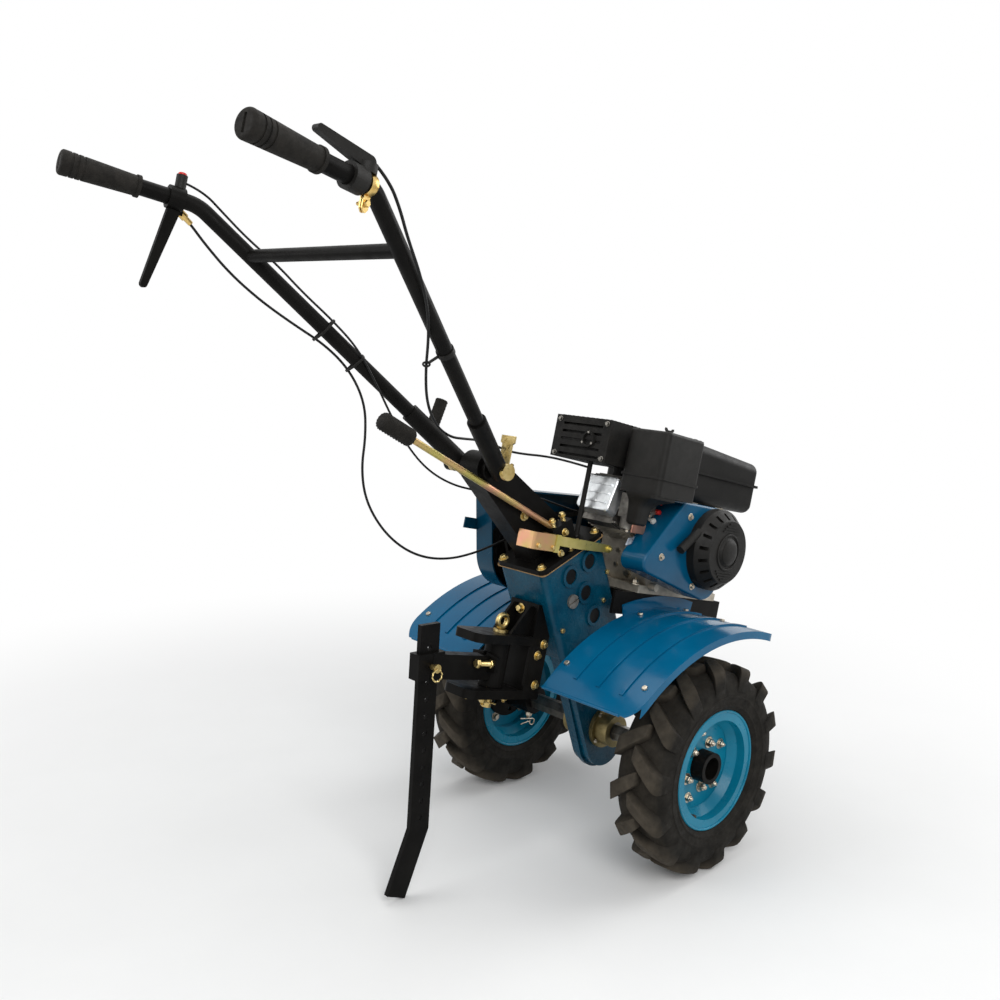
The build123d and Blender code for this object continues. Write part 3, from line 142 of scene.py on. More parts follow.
floor_size = 14.0
floor_mesh = bpy.data.meshes.new("floor")
floor_bm = bmesh.new()
bmesh.ops.create_grid(floor_bm, x_segments=4, y_segments=4, size=floor_size / 2)
floor_bm.to_mesh(floor_mesh)
floor_bm.free()
floor = bpy.data.objects.new("floor", floor_mesh)
floor.location.z = -0.0006
floor_paper = surface(
    "floor_paper", (0.84, 0.84, 0.83), (0.87, 0.87, 0.86), 1.5, (0.85, 0.95), shine=0.05,
)
paper = floor_paper.node_tree
spread_out = node(paper, "TexCoord")
how_far = node(paper, "VectorMath", "LENGTH")
fade = node(paper, "MapRange", From_Min=0.7, From_Max=2.2)
fade.interpolation_type = "SMOOTHSTEP"
lens_ray = node(paper, "LightPath")
lens_only = node(paper, "Math", "MULTIPLY")
white = node(paper, "Emission")
seamless = node(paper, "MixShader")
paper.links.new(spread_out.outputs["Object"], how_far.inputs[0])
paper.links.new(how_far.outputs["Value"], fade.inputs["Value"])
paper.links.new(fade.outputs[0], lens_only.inputs[0])
paper.links.new(lens_ray.outputs["Is Camera Ray"], lens_only.inputs[1])
paper.links.new(lens_only.outputs[0], seamless.inputs[0])
paper.links.new(paper.nodes["Principled BSDF"].outputs[0], seamless.inputs[1])
paper.links.new(white.outputs[0], seamless.inputs[2])
paper.links.new(seamless.outputs[0], paper.nodes["Material Output"].inputs["Surface"])
floor_mesh.materials.append(floor_paper)
scene.collection.objects.link(floor)

axle = Vector(next(joint["pos_m"] for joint in frame["joints"] if joint["name"] == "axle_spin"))
eye_yaw, eye_dip, eye_roll = radians(46.248), radians(9.824), radians(1.725)
aim = Vector((cos(eye_yaw) * cos(eye_dip), sin(eye_yaw) * cos(eye_dip), -sin(eye_dip)))
level_side = Vector((sin(eye_yaw), -cos(eye_yaw), 0.0))
over = level_side.cross(aim)
eye_right = cos(eye_roll) * level_side + sin(eye_roll) * over
eye_up = cos(eye_roll) * over - sin(eye_roll) * level_side
eye = bpy.data.objects.new("eye", bpy.data.cameras.new("eye"))
eye.data.lens = 38.343
eye.data.sensor_width = 36.0
eye_place = (axle.x - 1.64994, -1.41083, 1.05808)
eye_turn = Matrix((eye_right, eye_up, -aim)).transposed().to_4x4()
eye.matrix_world = Matrix.Translation(eye_place) @ eye_turn
scene.collection.objects.link(eye)
scene.camera = eye

# Tyres: moulded rubber farm tyres with fourteen bars in each half of a chevron. The bars
# are worn brown at the road face, run over the shoulder and end on the side wall.
swing = next(joint["axis"] for joint in frame["joints"] if joint["name"] == "drawbar_swing")
up = Vector(swing).normalized()
level = (
    Matrix.Translation(axle)
    @ Matrix(((up.z, 0, up.x, 0), (0, 1, 0, 0), (-up.x, 0, up.z, 0), (0, 0, 0, 1)))
    @ Matrix.Scale(0.001, 4)
)


def skin(bm, hoops, ring=False):
    """Joins hoops of points to one surface, closed on itself as a ring or capped at both ends."""
    pairs = list(zip(hoops, hoops[1:]))
    if ring:
        pairs.append((hoops[-1], hoops[0]))
    else:
        bm.faces.new(reversed(hoops[0]))
        bm.faces.new(hoops[-1])
    for low, high in pairs:
        for side in range(len(low)):
            after = (side + 1) % len(low)
            bm.faces.new((low[side], low[after], high[after], high[side]))


def revolve(bm, start, along, profile, sides, ring=False, knurl=0.0):
    """Turns (radius, rise) points about a line. A knurl lifts every other point."""
    lie = Vector(along).normalized().to_track_quat("Z", "Y").to_matrix()
    hoops = []
    for row, (radius, rise) in enumerate(profile):
        hoop = []
        for side in range(sides):
            angle = 2 * pi * side / sides
            out = radius + knurl * ((row + side) % 2)
            place = lie @ Vector((out * cos(angle), out * sin(angle), rise))
            hoop.append(bm.verts.new(Vector(start) + place))
        hoops.append(hoop)
    skin(bm, hoops, ring)


def piece(name, bm, body, finish, origin=None, sharp=38.0):
    """Sets a mesh, drawn in millimetres on the level machine, in its place on a body."""
    bmesh.ops.recalc_face_normals(bm, faces=bm.faces)
    mesh = bpy.data.meshes.new(name)
    bm.to_mesh(mesh)
    bm.free()
    mesh.transform(level)
    mesh.materials.append(finish)
    for face in mesh.polygons:
        face.use_smooth = True
    mesh.set_sharp_from_angle(angle=radians(sharp))
    thing = bpy.data.objects.new(name, mesh)
    if origin:
        centre = level @ Vector(origin)
        mesh.transform(Matrix.Translation(-centre))
        thing.location = centre
    scene.collection.objects.link(thing)
    if body:
        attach(thing, body)
    return thing


both_sides = ((1, "left"), (-1, "right"))
wheel_y, tyre_r, tyre_sides = 266.0, 207.0, 112
bar_count, bar_skew = 14, tan(radians(38.0))
bar_middle, bar_draft, bar_round = 28.0, 3.0, 1.7
side_wall = (
    (102.6, 40.2), (117.4, 40.2), (119.0, 44.5), (122.5, 48.0), (127.0, 50.4), (128.2, 52.2),
    (130.4, 52.4), (131.6, 51.6), (138.0, 53.2), (144.8, 54.3), (146.0, 55.4), (148.4, 55.5),
    (149.4, 54.6), (157.0, 55.0), (165.0, 54.4), (173.0, 52.4), (180.0, 48.6), (184.0, 44.0),
    (187.6, 32.0), (188.8, 16.0), (189.2, 0.0),
)
bar_stations = (
    (-10.0, 186.0, 199.0, 11.0), (-7.0, 186.0, 205.6, 13.0), (2.0, 186.0, 206.9, 14.6),
    (14.0, 186.0, 206.8, 15.6), (26.0, 185.0, 206.2, 16.4), (36.0, 183.0, 205.4, 17.2),
    (44.0, 178.0, 204.0, 17.8), (50.0, 170.0, 201.0, 18.0), (54.0, 163.0, 196.0, 17.6),
    (55.9, 158.0, 187.0, 16.0),
)
tyre_rubber = surface(
    "worn_tyre_rubber", (0.010, 0.0092, 0.0080), (0.022, 0.0200, 0.0170), 38.0, (0.62, 0.86),
    shine=0.07, bump=(900.0, 0.0006),
)
rubber = tyre_rubber.node_tree
in_wheel = node(rubber, "TexCoord")
across_axle = node(rubber, "VectorMath", "MULTIPLY")
across_axle.inputs[1].default_value = (1.0, 0.0, 1.0)
from_axle = node(rubber, "VectorMath", "LENGTH")
scuff = node(rubber, "TexNoise", Scale=55.0, Detail=8.0)
at_road = node(rubber, "MapRange", From_Min=0.180, From_Max=0.207)
worn = node(rubber, "Math", "MULTIPLY")
brown = node(rubber, "Mix")
brown.data_type = "RGBA"
brown.inputs[7].default_value = (0.096, 0.080, 0.060, 1.0)
rubber_tone = rubber.nodes["Principled BSDF"].inputs["Base Color"]
rubber.links.new(in_wheel.outputs["Object"], across_axle.inputs[0])
rubber.links.new(across_axle.outputs[0], from_axle.inputs[0])
rubber.links.new(in_wheel.outputs["Object"], scuff.inputs["Vector"])
rubber.links.new(from_axle.outputs["Value"], at_road.inputs["Value"])
rubber.links.new(at_road.outputs[0], worn.inputs[0])
rubber.links.new(scuff.outputs[0], worn.inputs[1])
rubber.links.new(worn.outputs[0], brown.inputs[0])
rubber.links.new(rubber_tone.links[0].from_socket, brown.inputs[6])
rubber.links.new(brown.outputs[2], rubber_tone)

one_bar = bmesh.new()
bar_rings = []
for y, root, crest, half in bar_stations:
    lean = -bar_skew * (y - bar_middle)
    foot = half + bar_draft
    ring = []
    for radius, out in ((root, -foot), (crest, -half), (crest, half), (root, foot)):
        angle = asin((lean + out) / tyre_r)
        ring.append(one_bar.verts.new((radius * sin(angle), y, radius * cos(angle))))
    bar_rings.append(ring)
skin(one_bar, bar_rings)
bmesh.ops.recalc_face_normals(one_bar, faces=one_bar.faces)
bar_edges = [edge for edge in one_bar.edges if edge.calc_face_angle(0.0) > radians(35.0)]
bmesh.ops.bevel(one_bar, geom=bar_edges, offset=bar_round, segments=2, profile=0.6, affect="EDGES")
bar_mesh = bpy.data.meshes.new("tyre_bar")
one_bar.to_mesh(bar_mesh)
one_bar.free()
for side, label in both_sides:
    tyre = bmesh.new()
    loop = [(radius, -out) for radius, out in side_wall]
    loop += [(radius, out) for radius, out in reversed(side_wall[:-1])]
    revolve(tyre, (0, 0, 0), (0, 1, 0), loop, tyre_sides, ring=True)
    for index in range(bar_count):
        for row, lag in ((1, 0.0), (-1, 0.5)):
            before = set(tyre.verts)
            tyre.from_mesh(bar_mesh)
            fresh = [vert for vert in tyre.verts if vert not in before]
            turn = Matrix.Rotation(2 * pi * (index + lag) / bar_count, 4, "Y")
            bmesh.ops.transform(tyre, matrix=turn @ Matrix.Diagonal((1, row, 1, 1)), verts=fresh)
    centre = (0, side * wheel_y, 0)
    bmesh.ops.translate(tyre, vec=centre, verts=tyre.verts)
    tread = piece("tyre_tread_" + label, tyre, "drive_axle", tyre_rubber, centre)
    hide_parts("tyre_" + label)

# Rims: rolled steel channels with a dished disc, powder-coated a greener blue than the body,
# with a rolled edge, a rubber valve and a ring of five plated bolts through the disc.
rim_paint = surface(
    "rim_powder_coat", (0.001, 0.150, 0.245), (0.003, 0.195, 0.310), 9.0, (0.24, 0.38), shine=0.2,
    bump=(700.0, 0.0002), coat=0.08,
)


def dress(finish, *names):
    """Puts a finish on CAD nodes that keep their own shape."""
    for name in names:
        for holder in frame["nodes"][name].material_slots:
            holder.material = finish


def hex_bolt(bm, seat, out, flats, head, washer=0.0, stub=0.0):
    """A hexagon head on its washer, with the end of a thread beyond a nut where there is one."""
    out = Vector(out).normalized()
    sink = 0.6
    seat = Vector(seat) - out * sink
    lift = 0.0
    if washer:
        lift = sink + max(1.2, 0.12 * flats)
        revolve(bm, seat, out, ((washer, 0), (washer, lift - 0.4), (washer - 0.5, lift)), 20)
    corner = flats / 3**0.5
    chamfer = ((corner, lift + 0.78 * head), (corner * 0.84, lift + head))
    revolve(bm, seat, out, ((corner * 0.94, lift - 0.3), (corner, lift + 0.5), *chamfer), 6)
    if stub:
        thread, pitch = 0.29 * flats, 1.2
        turns = []
        rise = lift + head - 0.3
        while rise < lift + head + stub:
            turns += [(thread, rise), (thread * 0.86, rise + pitch / 2)]
            rise += pitch
        revolve(bm, seat, out, turns, 14)


bright_zinc = surface(
    "plated_bolt_zinc", (0.34, 0.30, 0.24), (0.62, 0.56, 0.46), 160.0, (0.24, 0.42), metal=1.0,
    bump=(1500.0, 0.0001),
)
dress(rim_paint, "rim_left", "rim_right")
flange_r, flange_y, lip_r = 116.4, 44.2, 2.6
disc_face, disc_thick = 273.75, 3.5
rim_bolt_ring = 68.0
valve_r, valve_foot, valve_turn = 97.0, 284.0, radians(250.0)
for side, label in both_sides:
    rolled = bmesh.new()
    for face in (1, -1):
        lip = []
        for step in range(10):
            angle = 2 * pi * step / 10
            lip.append((flange_r + lip_r * cos(angle), face * side * flange_y + lip_r * sin(angle)))
        revolve(rolled, (0, side * wheel_y, 0), (0, 1, 0), lip, 96, ring=True)
    piece("rim_rolled_edge_" + label, rolled, "drive_axle", rim_paint)
    bolts = bmesh.new()
    for index in range(5):
        angle = radians(36 + 72 * index)
        x, z = rim_bolt_ring * cos(angle), rim_bolt_ring * sin(angle)
        hex_bolt(bolts, (x, side * disc_face, z), (0, side, 0), 12.0, 6.5, 11.0, 4.0)
        hex_bolt(bolts, (x, side * (disc_face - disc_thick), z), (0, -side, 0), 12.0, 6.0, 11.0)
    piece("rim_bolts_" + label, bolts, "drive_axle", bright_zinc)
    valve = bmesh.new()
    stem = ((5.2, 0), (5.2, 6), (3.6, 8), (3.4, 17), (4.2, 17.4), (4.2, 23), (3.2, 24))
    foot = (valve_r * cos(valve_turn), side * valve_foot, valve_r * sin(valve_turn))
    revolve(valve, foot, (0, side, 0), stem, 16)
    piece("tyre_valve_" + label, valve, "drive_axle", tyre_rubber)

# Hubs: black steel tubes welded to a flange, open at the outer end, held to the wheel disc
# by five plated bolts and to the hexagon axle by a cross bolt with a spring clip under it.
black_paint = surface(
    "satin_black_paint", (0.0030, 0.0028, 0.0026), (0.0072, 0.0067, 0.0060), 14.0, (0.32, 0.50),
    shine=0.06, bump=(620.0, 0.00022),
)
dress(black_paint, "hub_left", "hub_right")


def tube(bm, points, radius, sides=8):
    """A round wire or hose that follows a line of points."""
    points = [Vector(point) for point in points]
    lie = Vector((0, 0, 1))
    hoops = []
    for index, point in enumerate(points):
        before = points[max(index - 1, 0)]
        after = points[min(index + 1, len(points) - 1)]
        along = (after - before).normalized()
        lie = lie - along * lie.dot(along)
        if lie.length < 1e-4:
            lie = along.orthogonal()
        lie.normalize()
        cross = along.cross(lie)
        hoop = []
        for side in range(sides):
            angle = 2 * pi * side / sides
            hoop.append(bm.verts.new(point + radius * (lie * cos(angle) + cross * sin(angle))))
        hoops.append(hoop)
    skin(bm, hoops)


def spring_clip(bm, at, along, across, long):
    """A wire clip: a straight leg through the pin, a round eye and a waved leg outside it."""
    at = Vector(at)
    along = Vector(along).normalized()
    across = Vector(across).normalized()
    loop_r, loop_share = 7.0, 0.86
    line = [at - along * long * 0.55, at + along * long * 0.28]
    for step in range(15):
        angle = -pi / 2 + 2 * pi * step / 14 * loop_share
        line.append(at + along * (long * 0.36 + loop_r * cos(angle)) + across * loop_r * (1 + sin(angle)))
    for share, wave in ((0.2, 8.5), (0.05, 6.2), (-0.1, 8.8), (-0.25, 10.0), (-0.45, 13.0)):
        line.append(at + along * long * share + across * wave)
    tube(bm, line, 1.5)


hub_bolt_ring, hub_pin_y, hub_skin = 46.0, 190.0, 31.0
for side, label in both_sides:
    bolts = bmesh.new()
    for index in range(5):
        angle = radians(72 * index)
        seat = (hub_bolt_ring * cos(angle), side * disc_face, hub_bolt_ring * sin(angle))
        hex_bolt(bolts, seat, (0, side, 0), 14.0, 8.0, 12.0, 5.0)
    piece("hub_bolts_" + label, bolts, "drive_axle", bright_zinc)
    clip = bmesh.new()
    hex_bolt(clip, (0, side * hub_pin_y, hub_skin), (0, 0, 1), 13.0, 6.0, 11.0)
    hex_bolt(clip, (0, side * hub_pin_y, -hub_skin), (0, 0, -1), 13.0, 7.0, 11.0, 4.0)
    spring_clip(clip, (0, side * hub_pin_y, -hub_skin - 15.0), (1, 0, 0), (0, 0, -1), 44.0)
    piece("hub_clip_" + label, clip, "drive_axle", bright_zinc)

# Axle and its caps: a hexagon steel bar that turns in two flanged bearing caps, which are
# olive-plated castings held to the gearbox leg by four small bolts each.
axle_steel = surface(
    "oiled_axle_steel", (0.10, 0.095, 0.085), (0.20, 0.19, 0.17), 60.0, (0.3, 0.5), metal=1.0,
)
olive_zinc = surface(
    "olive_plated_casting", (0.16, 0.125, 0.05), (0.30, 0.24, 0.11), 48.0, (0.36, 0.6), metal=0.8,
    bump=(800.0, 0.0004),
)
dress(axle_steel, "axle_shaft")
dress(olive_zinc, "axle_caps")
cap_face, cap_bolt_ring = 31.0, 38.5
bolts = bmesh.new()
for side in (1, -1):
    for index in range(4):
        angle = radians(45 + 90 * index)
        seat = (cap_bolt_ring * cos(angle), side * cap_face, cap_bolt_ring * sin(angle))
        hex_bolt(bolts, seat, (0, side, 0), 8.0, 4.5)
piece("axle_cap_bolts", bolts, "chassis", bright_zinc)

# Gearbox: a sand-cast iron case in blue paint that leans back over the axle. Round black plugs
# close the bearing bores, with an alloy oil plug between them. A black cover is bolted on top
# over a paper gasket.
# The case's blue is darker than the fenders' blue paint: painted shade, for the shadow the case stands
# in.
shaded_casting_blue = surface(
    "casting_blue_darkened_as_shade", (0.0005, 0.036, 0.068), (0.0010, 0.060, 0.106), 22.0, (0.20, 0.36),
    shine=0.16, bump=(330.0, 0.0007), coat=0.06,
)
plug_black = surface(
    "plug_rubber", (0.004, 0.004, 0.0045), (0.009, 0.009, 0.009), 40.0, (0.45, 0.6), shine=0.1,
)
plug_grey = surface(
    "oil_plug_alloy", (0.16, 0.15, 0.13), (0.30, 0.28, 0.25), 70.0, (0.38, 0.55), metal=0.85,
)
dress(shaded_casting_blue, "gearbox_housing")
dress(plug_black, "bearing_plugs")
dress(plug_grey, "oil_plug")
case_lean = radians(33.0)


def on_case(u, y, w):
    """A point given along (u) and up (w) the leaning gearbox, on the level machine."""
    return Vector((u * cos(case_lean) - w * sin(case_lean), y, u * sin(case_lean) + w * cos(case_lean)))


case_up = on_case(0, 0, 1)
gasket_paper = surface(
    "gasket_paper", (0.22, 0.13, 0.055), (0.36, 0.23, 0.11), 90.0, (0.8, 0.95), shine=0.2,
)


def plate(bm, corners, thick):
    """A flat plate, from its corner points in order and its thickness as a vector."""
    thick = Vector(thick)
    low = [bm.verts.new(Vector(corner)) for corner in corners]
    high = [bm.verts.new(Vector(corner) + thick) for corner in corners]
    skin(bm, (low, high))


gasket_low, gasket_thick, gasket_corner = 428.4, 1.7, 8.7
cover_top, case_side = 440.0, 62.0
gasket = bmesh.new()
gasket_rim = []
for u0, y0, quarter in ((70, 57, 0), (-93, 57, 1), (-93, -57, 2), (70, -57, 3)):
    for step in range(5):
        angle = radians(90 * quarter + 22.5 * step)
        u, y = u0 + gasket_corner * cos(angle), y0 + gasket_corner * sin(angle)
        gasket_rim.append(on_case(u, y, gasket_low))
plate(gasket, gasket_rim, case_up * gasket_thick)
piece("cover_gasket", gasket, "chassis", gasket_paper)
dress(black_paint, "gearbox_cover")
yellow_zinc = surface(
    "yellow_plated_steel", (0.42, 0.30, 0.10), (0.62, 0.50, 0.24), 42.0, (0.26, 0.46), metal=1.0,
    bump=(1300.0, 0.00012),
)
bolts = bmesh.new()
for u, y in ((-90, -52), (-90, 52), (-10, -54), (-10, 54), (66, -52), (66, 52)):
    hex_bolt(bolts, on_case(u, y, cover_top), case_up, 11.0, 6.5, 9.5)
for u, w in ((52, 418), (66, 352), (40, 300), (-84, 300)):
    for side in (1, -1):
        hex_bolt(bolts, on_case(u, side * case_side, w), (0, side, 0), 9.0, 5.0)
piece("gearbox_bolts", bolts, "chassis", yellow_zinc)

# Engine bed and crankcase: a folded black steel frame bolted round the gearbox, carrying a
# die-cast alloy engine with a finned cylinder laid back and a bright ribbed rocker cover.
cast_alloy = surface(
    "cast_crankcase_alloy", (0.34, 0.30, 0.24), (0.58, 0.53, 0.44), 26.0, (0.40, 0.60), metal=0.4,
    bump=(520.0, 0.0006),
)
rocker_alloy = surface(
    "rocker_cover_alloy", (0.50, 0.52, 0.53), (0.72, 0.74, 0.75), 55.0, (0.28, 0.42), metal=0.85,
    bump=(420.0, 0.0003),
)
head_alloy = surface(
    "oily_head_alloy", (0.07, 0.065, 0.06), (0.20, 0.19, 0.17), 45.0, (0.4, 0.62), metal=0.8,
    bump=(520.0, 0.0005),
)
dress(black_paint, "engine_bed")
dress(cast_alloy, "engine_block")
dress(head_alloy, "cylinder_head")
dress(rocker_alloy, "rocker_cover")
foot_top, case_back, case_front, case_left = 316.0, -58.0, 180.0, 30.0
bolts = bmesh.new()
for x in (-72, 192):
    for y in (-88, 18):
        hex_bolt(bolts, (x, y, foot_top), (0, 0, 1), 13.0, 8.0, 11.0, 5.0)
for y in (-92, -20):
    for z in (345, 374):
        hex_bolt(bolts, (case_back, y, z), (-1, 0, 0), 9.0, 5.0)
hex_bolt(bolts, (case_back, -56, 332), (-1, 0, 0), 14.0, 8.0, 10.0)
for y in (-94, 22):
    for z in (330, 466):
        hex_bolt(bolts, (case_front, y, z), (1, 0, 0), 10.0, 5.5, 8.0)
hex_bolt(bolts, (case_front, -36, 322), (1, 0, 0), 15.0, 8.0, 11.0)
piece("engine_bolts", bolts, "chassis", bright_zinc)
ribs = bmesh.new()
for y in (-78, -57, -36, -15, 6):
    rib = ((y - 2.2, 340), (y + 2.2, 340), (y + 1.4, 462), (y - 1.4, 462))
    plate(ribs, [(case_front - 1, width, z) for width, z in rib], (5.0, 0, 0))
for z in (345, 451):
    rib = ((-84, z), (12, z), (12, z + 4), (-84, z + 4))
    plate(ribs, [(case_front - 1, y, height) for y, height in rib], (4.0, 0, 0))
for x in (-20, 20, 100, 140):
    rib = ((x - 2, 330), (x + 2, 330), (x + 2, 466), (x - 2, 466))
    plate(ribs, [(width, case_left - 1, z) for width, z in rib], (0, 4.5, 0))
piece("crankcase_ribs", ribs, "chassis", cast_alloy)

# Fan shell and recoil starter: a pressed blue steel shroud over the flywheel, with a black
# moulded starter cover on it, vented in two slot groups, and a bar grip on its cord.
moulded_black = surface(
    "moulded_black_plastic", (0.0085, 0.0080, 0.0072), (0.0150, 0.0142, 0.0128), 24.0, (0.42, 0.56),
    shine=0.15, bump=(1500.0, 0.00028),
)
shell_blue = surface(
    "shell_blue_paint", (0.0004, 0.062, 0.134), (0.0010, 0.088, 0.182), 7.0, (0.14, 0.26),
    shine=0.2, bump=(260.0, 0.00012), coat=0.12,
)
dress(shell_blue, "fan_shell")
dress(moulded_black, "recoil_starter")
crank_x, crank_z = 62.0, 414.0
shell_face, starter_face = -160.0, -202.0
vent_r, vent_share, vent_first, vent_pitch = 60.0, 0.72, 41.5, 5.4
bolts = bmesh.new()
for x, z in ((20, 332), (-30, 470), (-100, 382)):
    hex_bolt(bolts, (x, shell_face, z), (0, -1, 0), 8.0, 4.5, 7.5)
piece("starter_bolts", bolts, "chassis", bright_zinc)
cover_trim = bmesh.new()
revolve(
    cover_trim, (crank_x, starter_face, crank_z), (0, 1, 0),
    ((34.0, 0.6), (34.0, -1.6), (35.0, -2.4), (37.0, -2.4), (38.0, -1.6), (38.0, 0.6)), 48, ring=True,
)
revolve(
    cover_trim, (crank_x, starter_face - 3.5, crank_z), (0, -1, 0),
    ((25.6, 0), (25.6, 1.4), (23.0, 3.2), (17.0, 4.9), (9.0, 5.8), (1.0, 6.1)), 40,
)
for group in (1, -1):
    for row in range(4):
        z = crank_z + group * (vent_first + vent_pitch * row)
        half = (vent_r**2 - (z - crank_z) ** 2) ** 0.5 * vent_share
        louvre = ((-half, -1.5), (half, -1.5), (half, 1.5), (-half, 1.5))
        corners = [(crank_x + x, starter_face + 0.5, z + rise) for x, rise in louvre]
        plate(cover_trim, corners, (0, -2.8, 0))
piece("starter_cover_trim", cover_trim, "chassis", moulded_black)

# Fuel tank and its cap: a black tank in two halves joined at a seam, carried on two posts over
# the crankcase, with a fluted screw cap on top.
tank_black = surface(
    "tank_black", (0.0082, 0.0079, 0.0073), (0.0130, 0.0124, 0.0115), 12.0, (0.36, 0.48),
    shine=0.08, bump=(900.0, 0.00018),
)
dress(tank_black, "fuel_tank")
dress(moulded_black, "fuel_cap")

# Air cleaner and duct: a black plastic box whose beaded lid is held by one wing nut, with a
# moulded duct that narrows below it beside the carburettor.
dress(moulded_black, "air_cleaner")


def loft(bm, sections):
    """Skins a row of rounded oblongs, each given by its centre, half length, half width and corner."""
    hoops = []
    for x, y, z, long, wide, corner in sections:
        hoop = []
        for quarter, (end, flank) in enumerate(((1, 1), (-1, 1), (-1, -1), (1, -1))):
            for step in range(6):
                angle = radians(90 * quarter + 18 * step)
                along = x + end * (long - corner) + corner * cos(angle)
                across = y + flank * (wide - corner) + corner * sin(angle)
                hoop.append(bm.verts.new((along, across, z)))
        hoops.append(hoop)
    skin(bm, hoops)


duct = bmesh.new()
duct_sections = (
    (-160, -130, 434, 12, 12, 5), (-160, -130, 438, 16, 16, 7), (-160, -131, 468, 19, 17.5, 8),
    (-158, -136, 480, 25, 22, 9), (-155, -144, 487, 34, 30, 9), (-153, -147, 490, 38, 34, 9),
    (-153, -147, 497, 39, 35, 9),
)
loft(duct, duct_sections)
duct_piece = piece("air_duct_moulding", duct, "chassis", moulded_black)
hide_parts("air_duct")
wing_nut = bmesh.new()
stud = Vector((-120, -135, 619.4))
revolve(wing_nut, stud, (0, 0, 1), ((9.0, 0), (9.0, 1.8), (5.4, 2.2), (5.0, 8.0), (4.2, 8.6)), 24)
wing = ((3.5, 2.5), (9.0, 4.0), (14.0, 9.5), (13.0, 13.0), (9.5, 12.4), (3.5, 7.0))
for end in (1, -1):
    plate(wing_nut, [stud + Vector((end * x, -1.3, z)) for x, z in wing], (0, 2.6, 0))
piece("cleaner_wing_nut", wing_nut, "chassis", moulded_black)

# Carburettor: a die-cast body with a choke and a fuel lever on its right side, tipped in red
# plastic, a coil spring on the linkage and a white fuel tap knob under them.
dress(head_alloy, "carburettor")


def spring(bm, start, end, radius, wire, turns):
    """A coil spring with straight hooks between two points."""
    start, end = Vector(start), Vector(end)
    lie = (end - start).normalized().to_track_quat("Z", "Y").to_matrix()
    per_turn, hook = 12, 0.14
    steps = per_turn * turns
    line = [start]
    for step in range(steps + 1):
        angle = 2 * pi * step / per_turn
        rise = (end - start).length * (hook + (1 - 2 * hook) * step / steps)
        line.append(start + lie @ Vector((radius * cos(angle), radius * sin(angle), rise)))
    tube(bm, line + [end], wire, 6)


red_plastic = surface(
    "red_lever_tip", (0.42, 0.012, 0.010), (0.58, 0.022, 0.016), 60.0, (0.3, 0.42), shine=0.3,
    bump=(900.0, 0.0001),
)
white_plastic = surface(
    "white_fuel_knob", (0.52, 0.51, 0.47), (0.66, 0.65, 0.61), 60.0, (0.32, 0.48), shine=0.3,
    bump=(900.0, 0.0001),
)
carb_side, choke_side = -115.0, -117.0
bowl_x, bowl_y, bowl_under = -144.0, -99.5, 423.0
choke = bmesh.new()
loft(choke, ((-108, -107, 455, 19, 10, 3), (-108, -107, 484, 19, 10, 3), (-108, -107, 486, 17, 8, 2)))
revolve(choke, (bowl_x, carb_side + 1, 474), (0, -1, 0), ((9, -3), (9, 2), (7, 3)), 20)
piece("choke_body", choke, "chassis", head_alloy)
levers = bmesh.new()
tips = bmesh.new()
for rise in (0, -20):
    lever = ((-112, 474), (-84, 484), (-85, 490), (-114, 481))
    plate(levers, [(x, choke_side, z + rise) for x, z in lever], (0, -2.4, 0))
    hex_bolt(levers, (-110, choke_side - 2, 478 + rise), (0, -1, 0), 8.0, 4.0, 6.0)
    tip = (-84.5, choke_side + 3, 487 + rise)
    revolve(tips, tip, (0, -1, 0), ((4.4, 0), (5.4, 1.2), (5.4, 9.5), (4.2, 11)), 16)
hex_bolt(levers, (bowl_x, bowl_y, bowl_under), (0, 0, -1), 9.0, 5.0, 6.0)
for x in (-158, -130):
    hex_bolt(levers, (x, carb_side, 486), (0, -1, 0), 7.0, 4.0)
spring(levers, (-116, -104, 452), (-74, -100, 409), 3.4, 0.8, 11)
piece("choke_levers", levers, "chassis", bright_zinc)
piece("choke_lever_tips", tips, "chassis", red_plastic)
fuel_tap = bmesh.new()
tube(fuel_tap, ((-98, -107, 457), (-98, -109, 452), (-98, -114, 449), (-98, -121, 448)), 3.2, 10)
revolve(fuel_tap, (-98, -119, 448), (0, -1, 0), ((4.5, 0), (6.2, 1.5), (6.2, 5.5), (4.6, 7.4)), 18)
piece("fuel_tap_knob", fuel_tap, "chassis", white_plastic)

# Fittings by the carburettor: a copper-plated heat plate on two studs, a zinc-plated governor
# bracket with three bolts under it, and the rubber lead of the spark plug with its boot.
copper_plate = surface(
    "copper_pink_plating", (0.52, 0.24, 0.17), (0.66, 0.36, 0.26), 26.0, (0.28, 0.44), metal=0.85,
    bump=(1300.0, 0.0001),
)
blue_zinc = surface(
    "blue_white_zinc", (0.40, 0.45, 0.54), (0.62, 0.68, 0.76), 34.0, (0.22, 0.38), metal=0.9,
    bump=(1300.0, 0.0001),
)
heat_side, governor_side = -118.0, -101.0
heat_plate = bmesh.new()
heat_outline = ((-154, 418), (-114, 418), (-112, 440), (-124, 446), (-152, 444))
plate(heat_plate, [(x, heat_side, z) for x, z in heat_outline], (0, 2.4, 0))
for x, z in ((-118, 424), (-118, 437)):
    tube(heat_plate, ((x, heat_side + 1, z), (x, -96, z), (x, -75, z)), 3.0, 10)
piece("heat_plate", heat_plate, "chassis", copper_plate)
governor = bmesh.new()
arm_outline = ((-140, 391), (-56, 394), (-56, 409), (-134, 407))
plate(governor, [(x, governor_side, z) for x, z in arm_outline], (0, 2.6, 0))
turned_end = ((-140, 0, 391), (-134, 0, 407), (-134, -11, 412), (-140, -11, 396))
plate(governor, [(x, governor_side + out, z) for x, out, z in turned_end], (2.4, 0, 0))
for x, z in ((-70, 401), (-92, 400), (-124, 399)):
    hex_bolt(governor, (x, governor_side, z), (0, -1, 0), 8.0, 4.5, 7.0)
piece("governor_plate", governor, "chassis", blue_zinc)
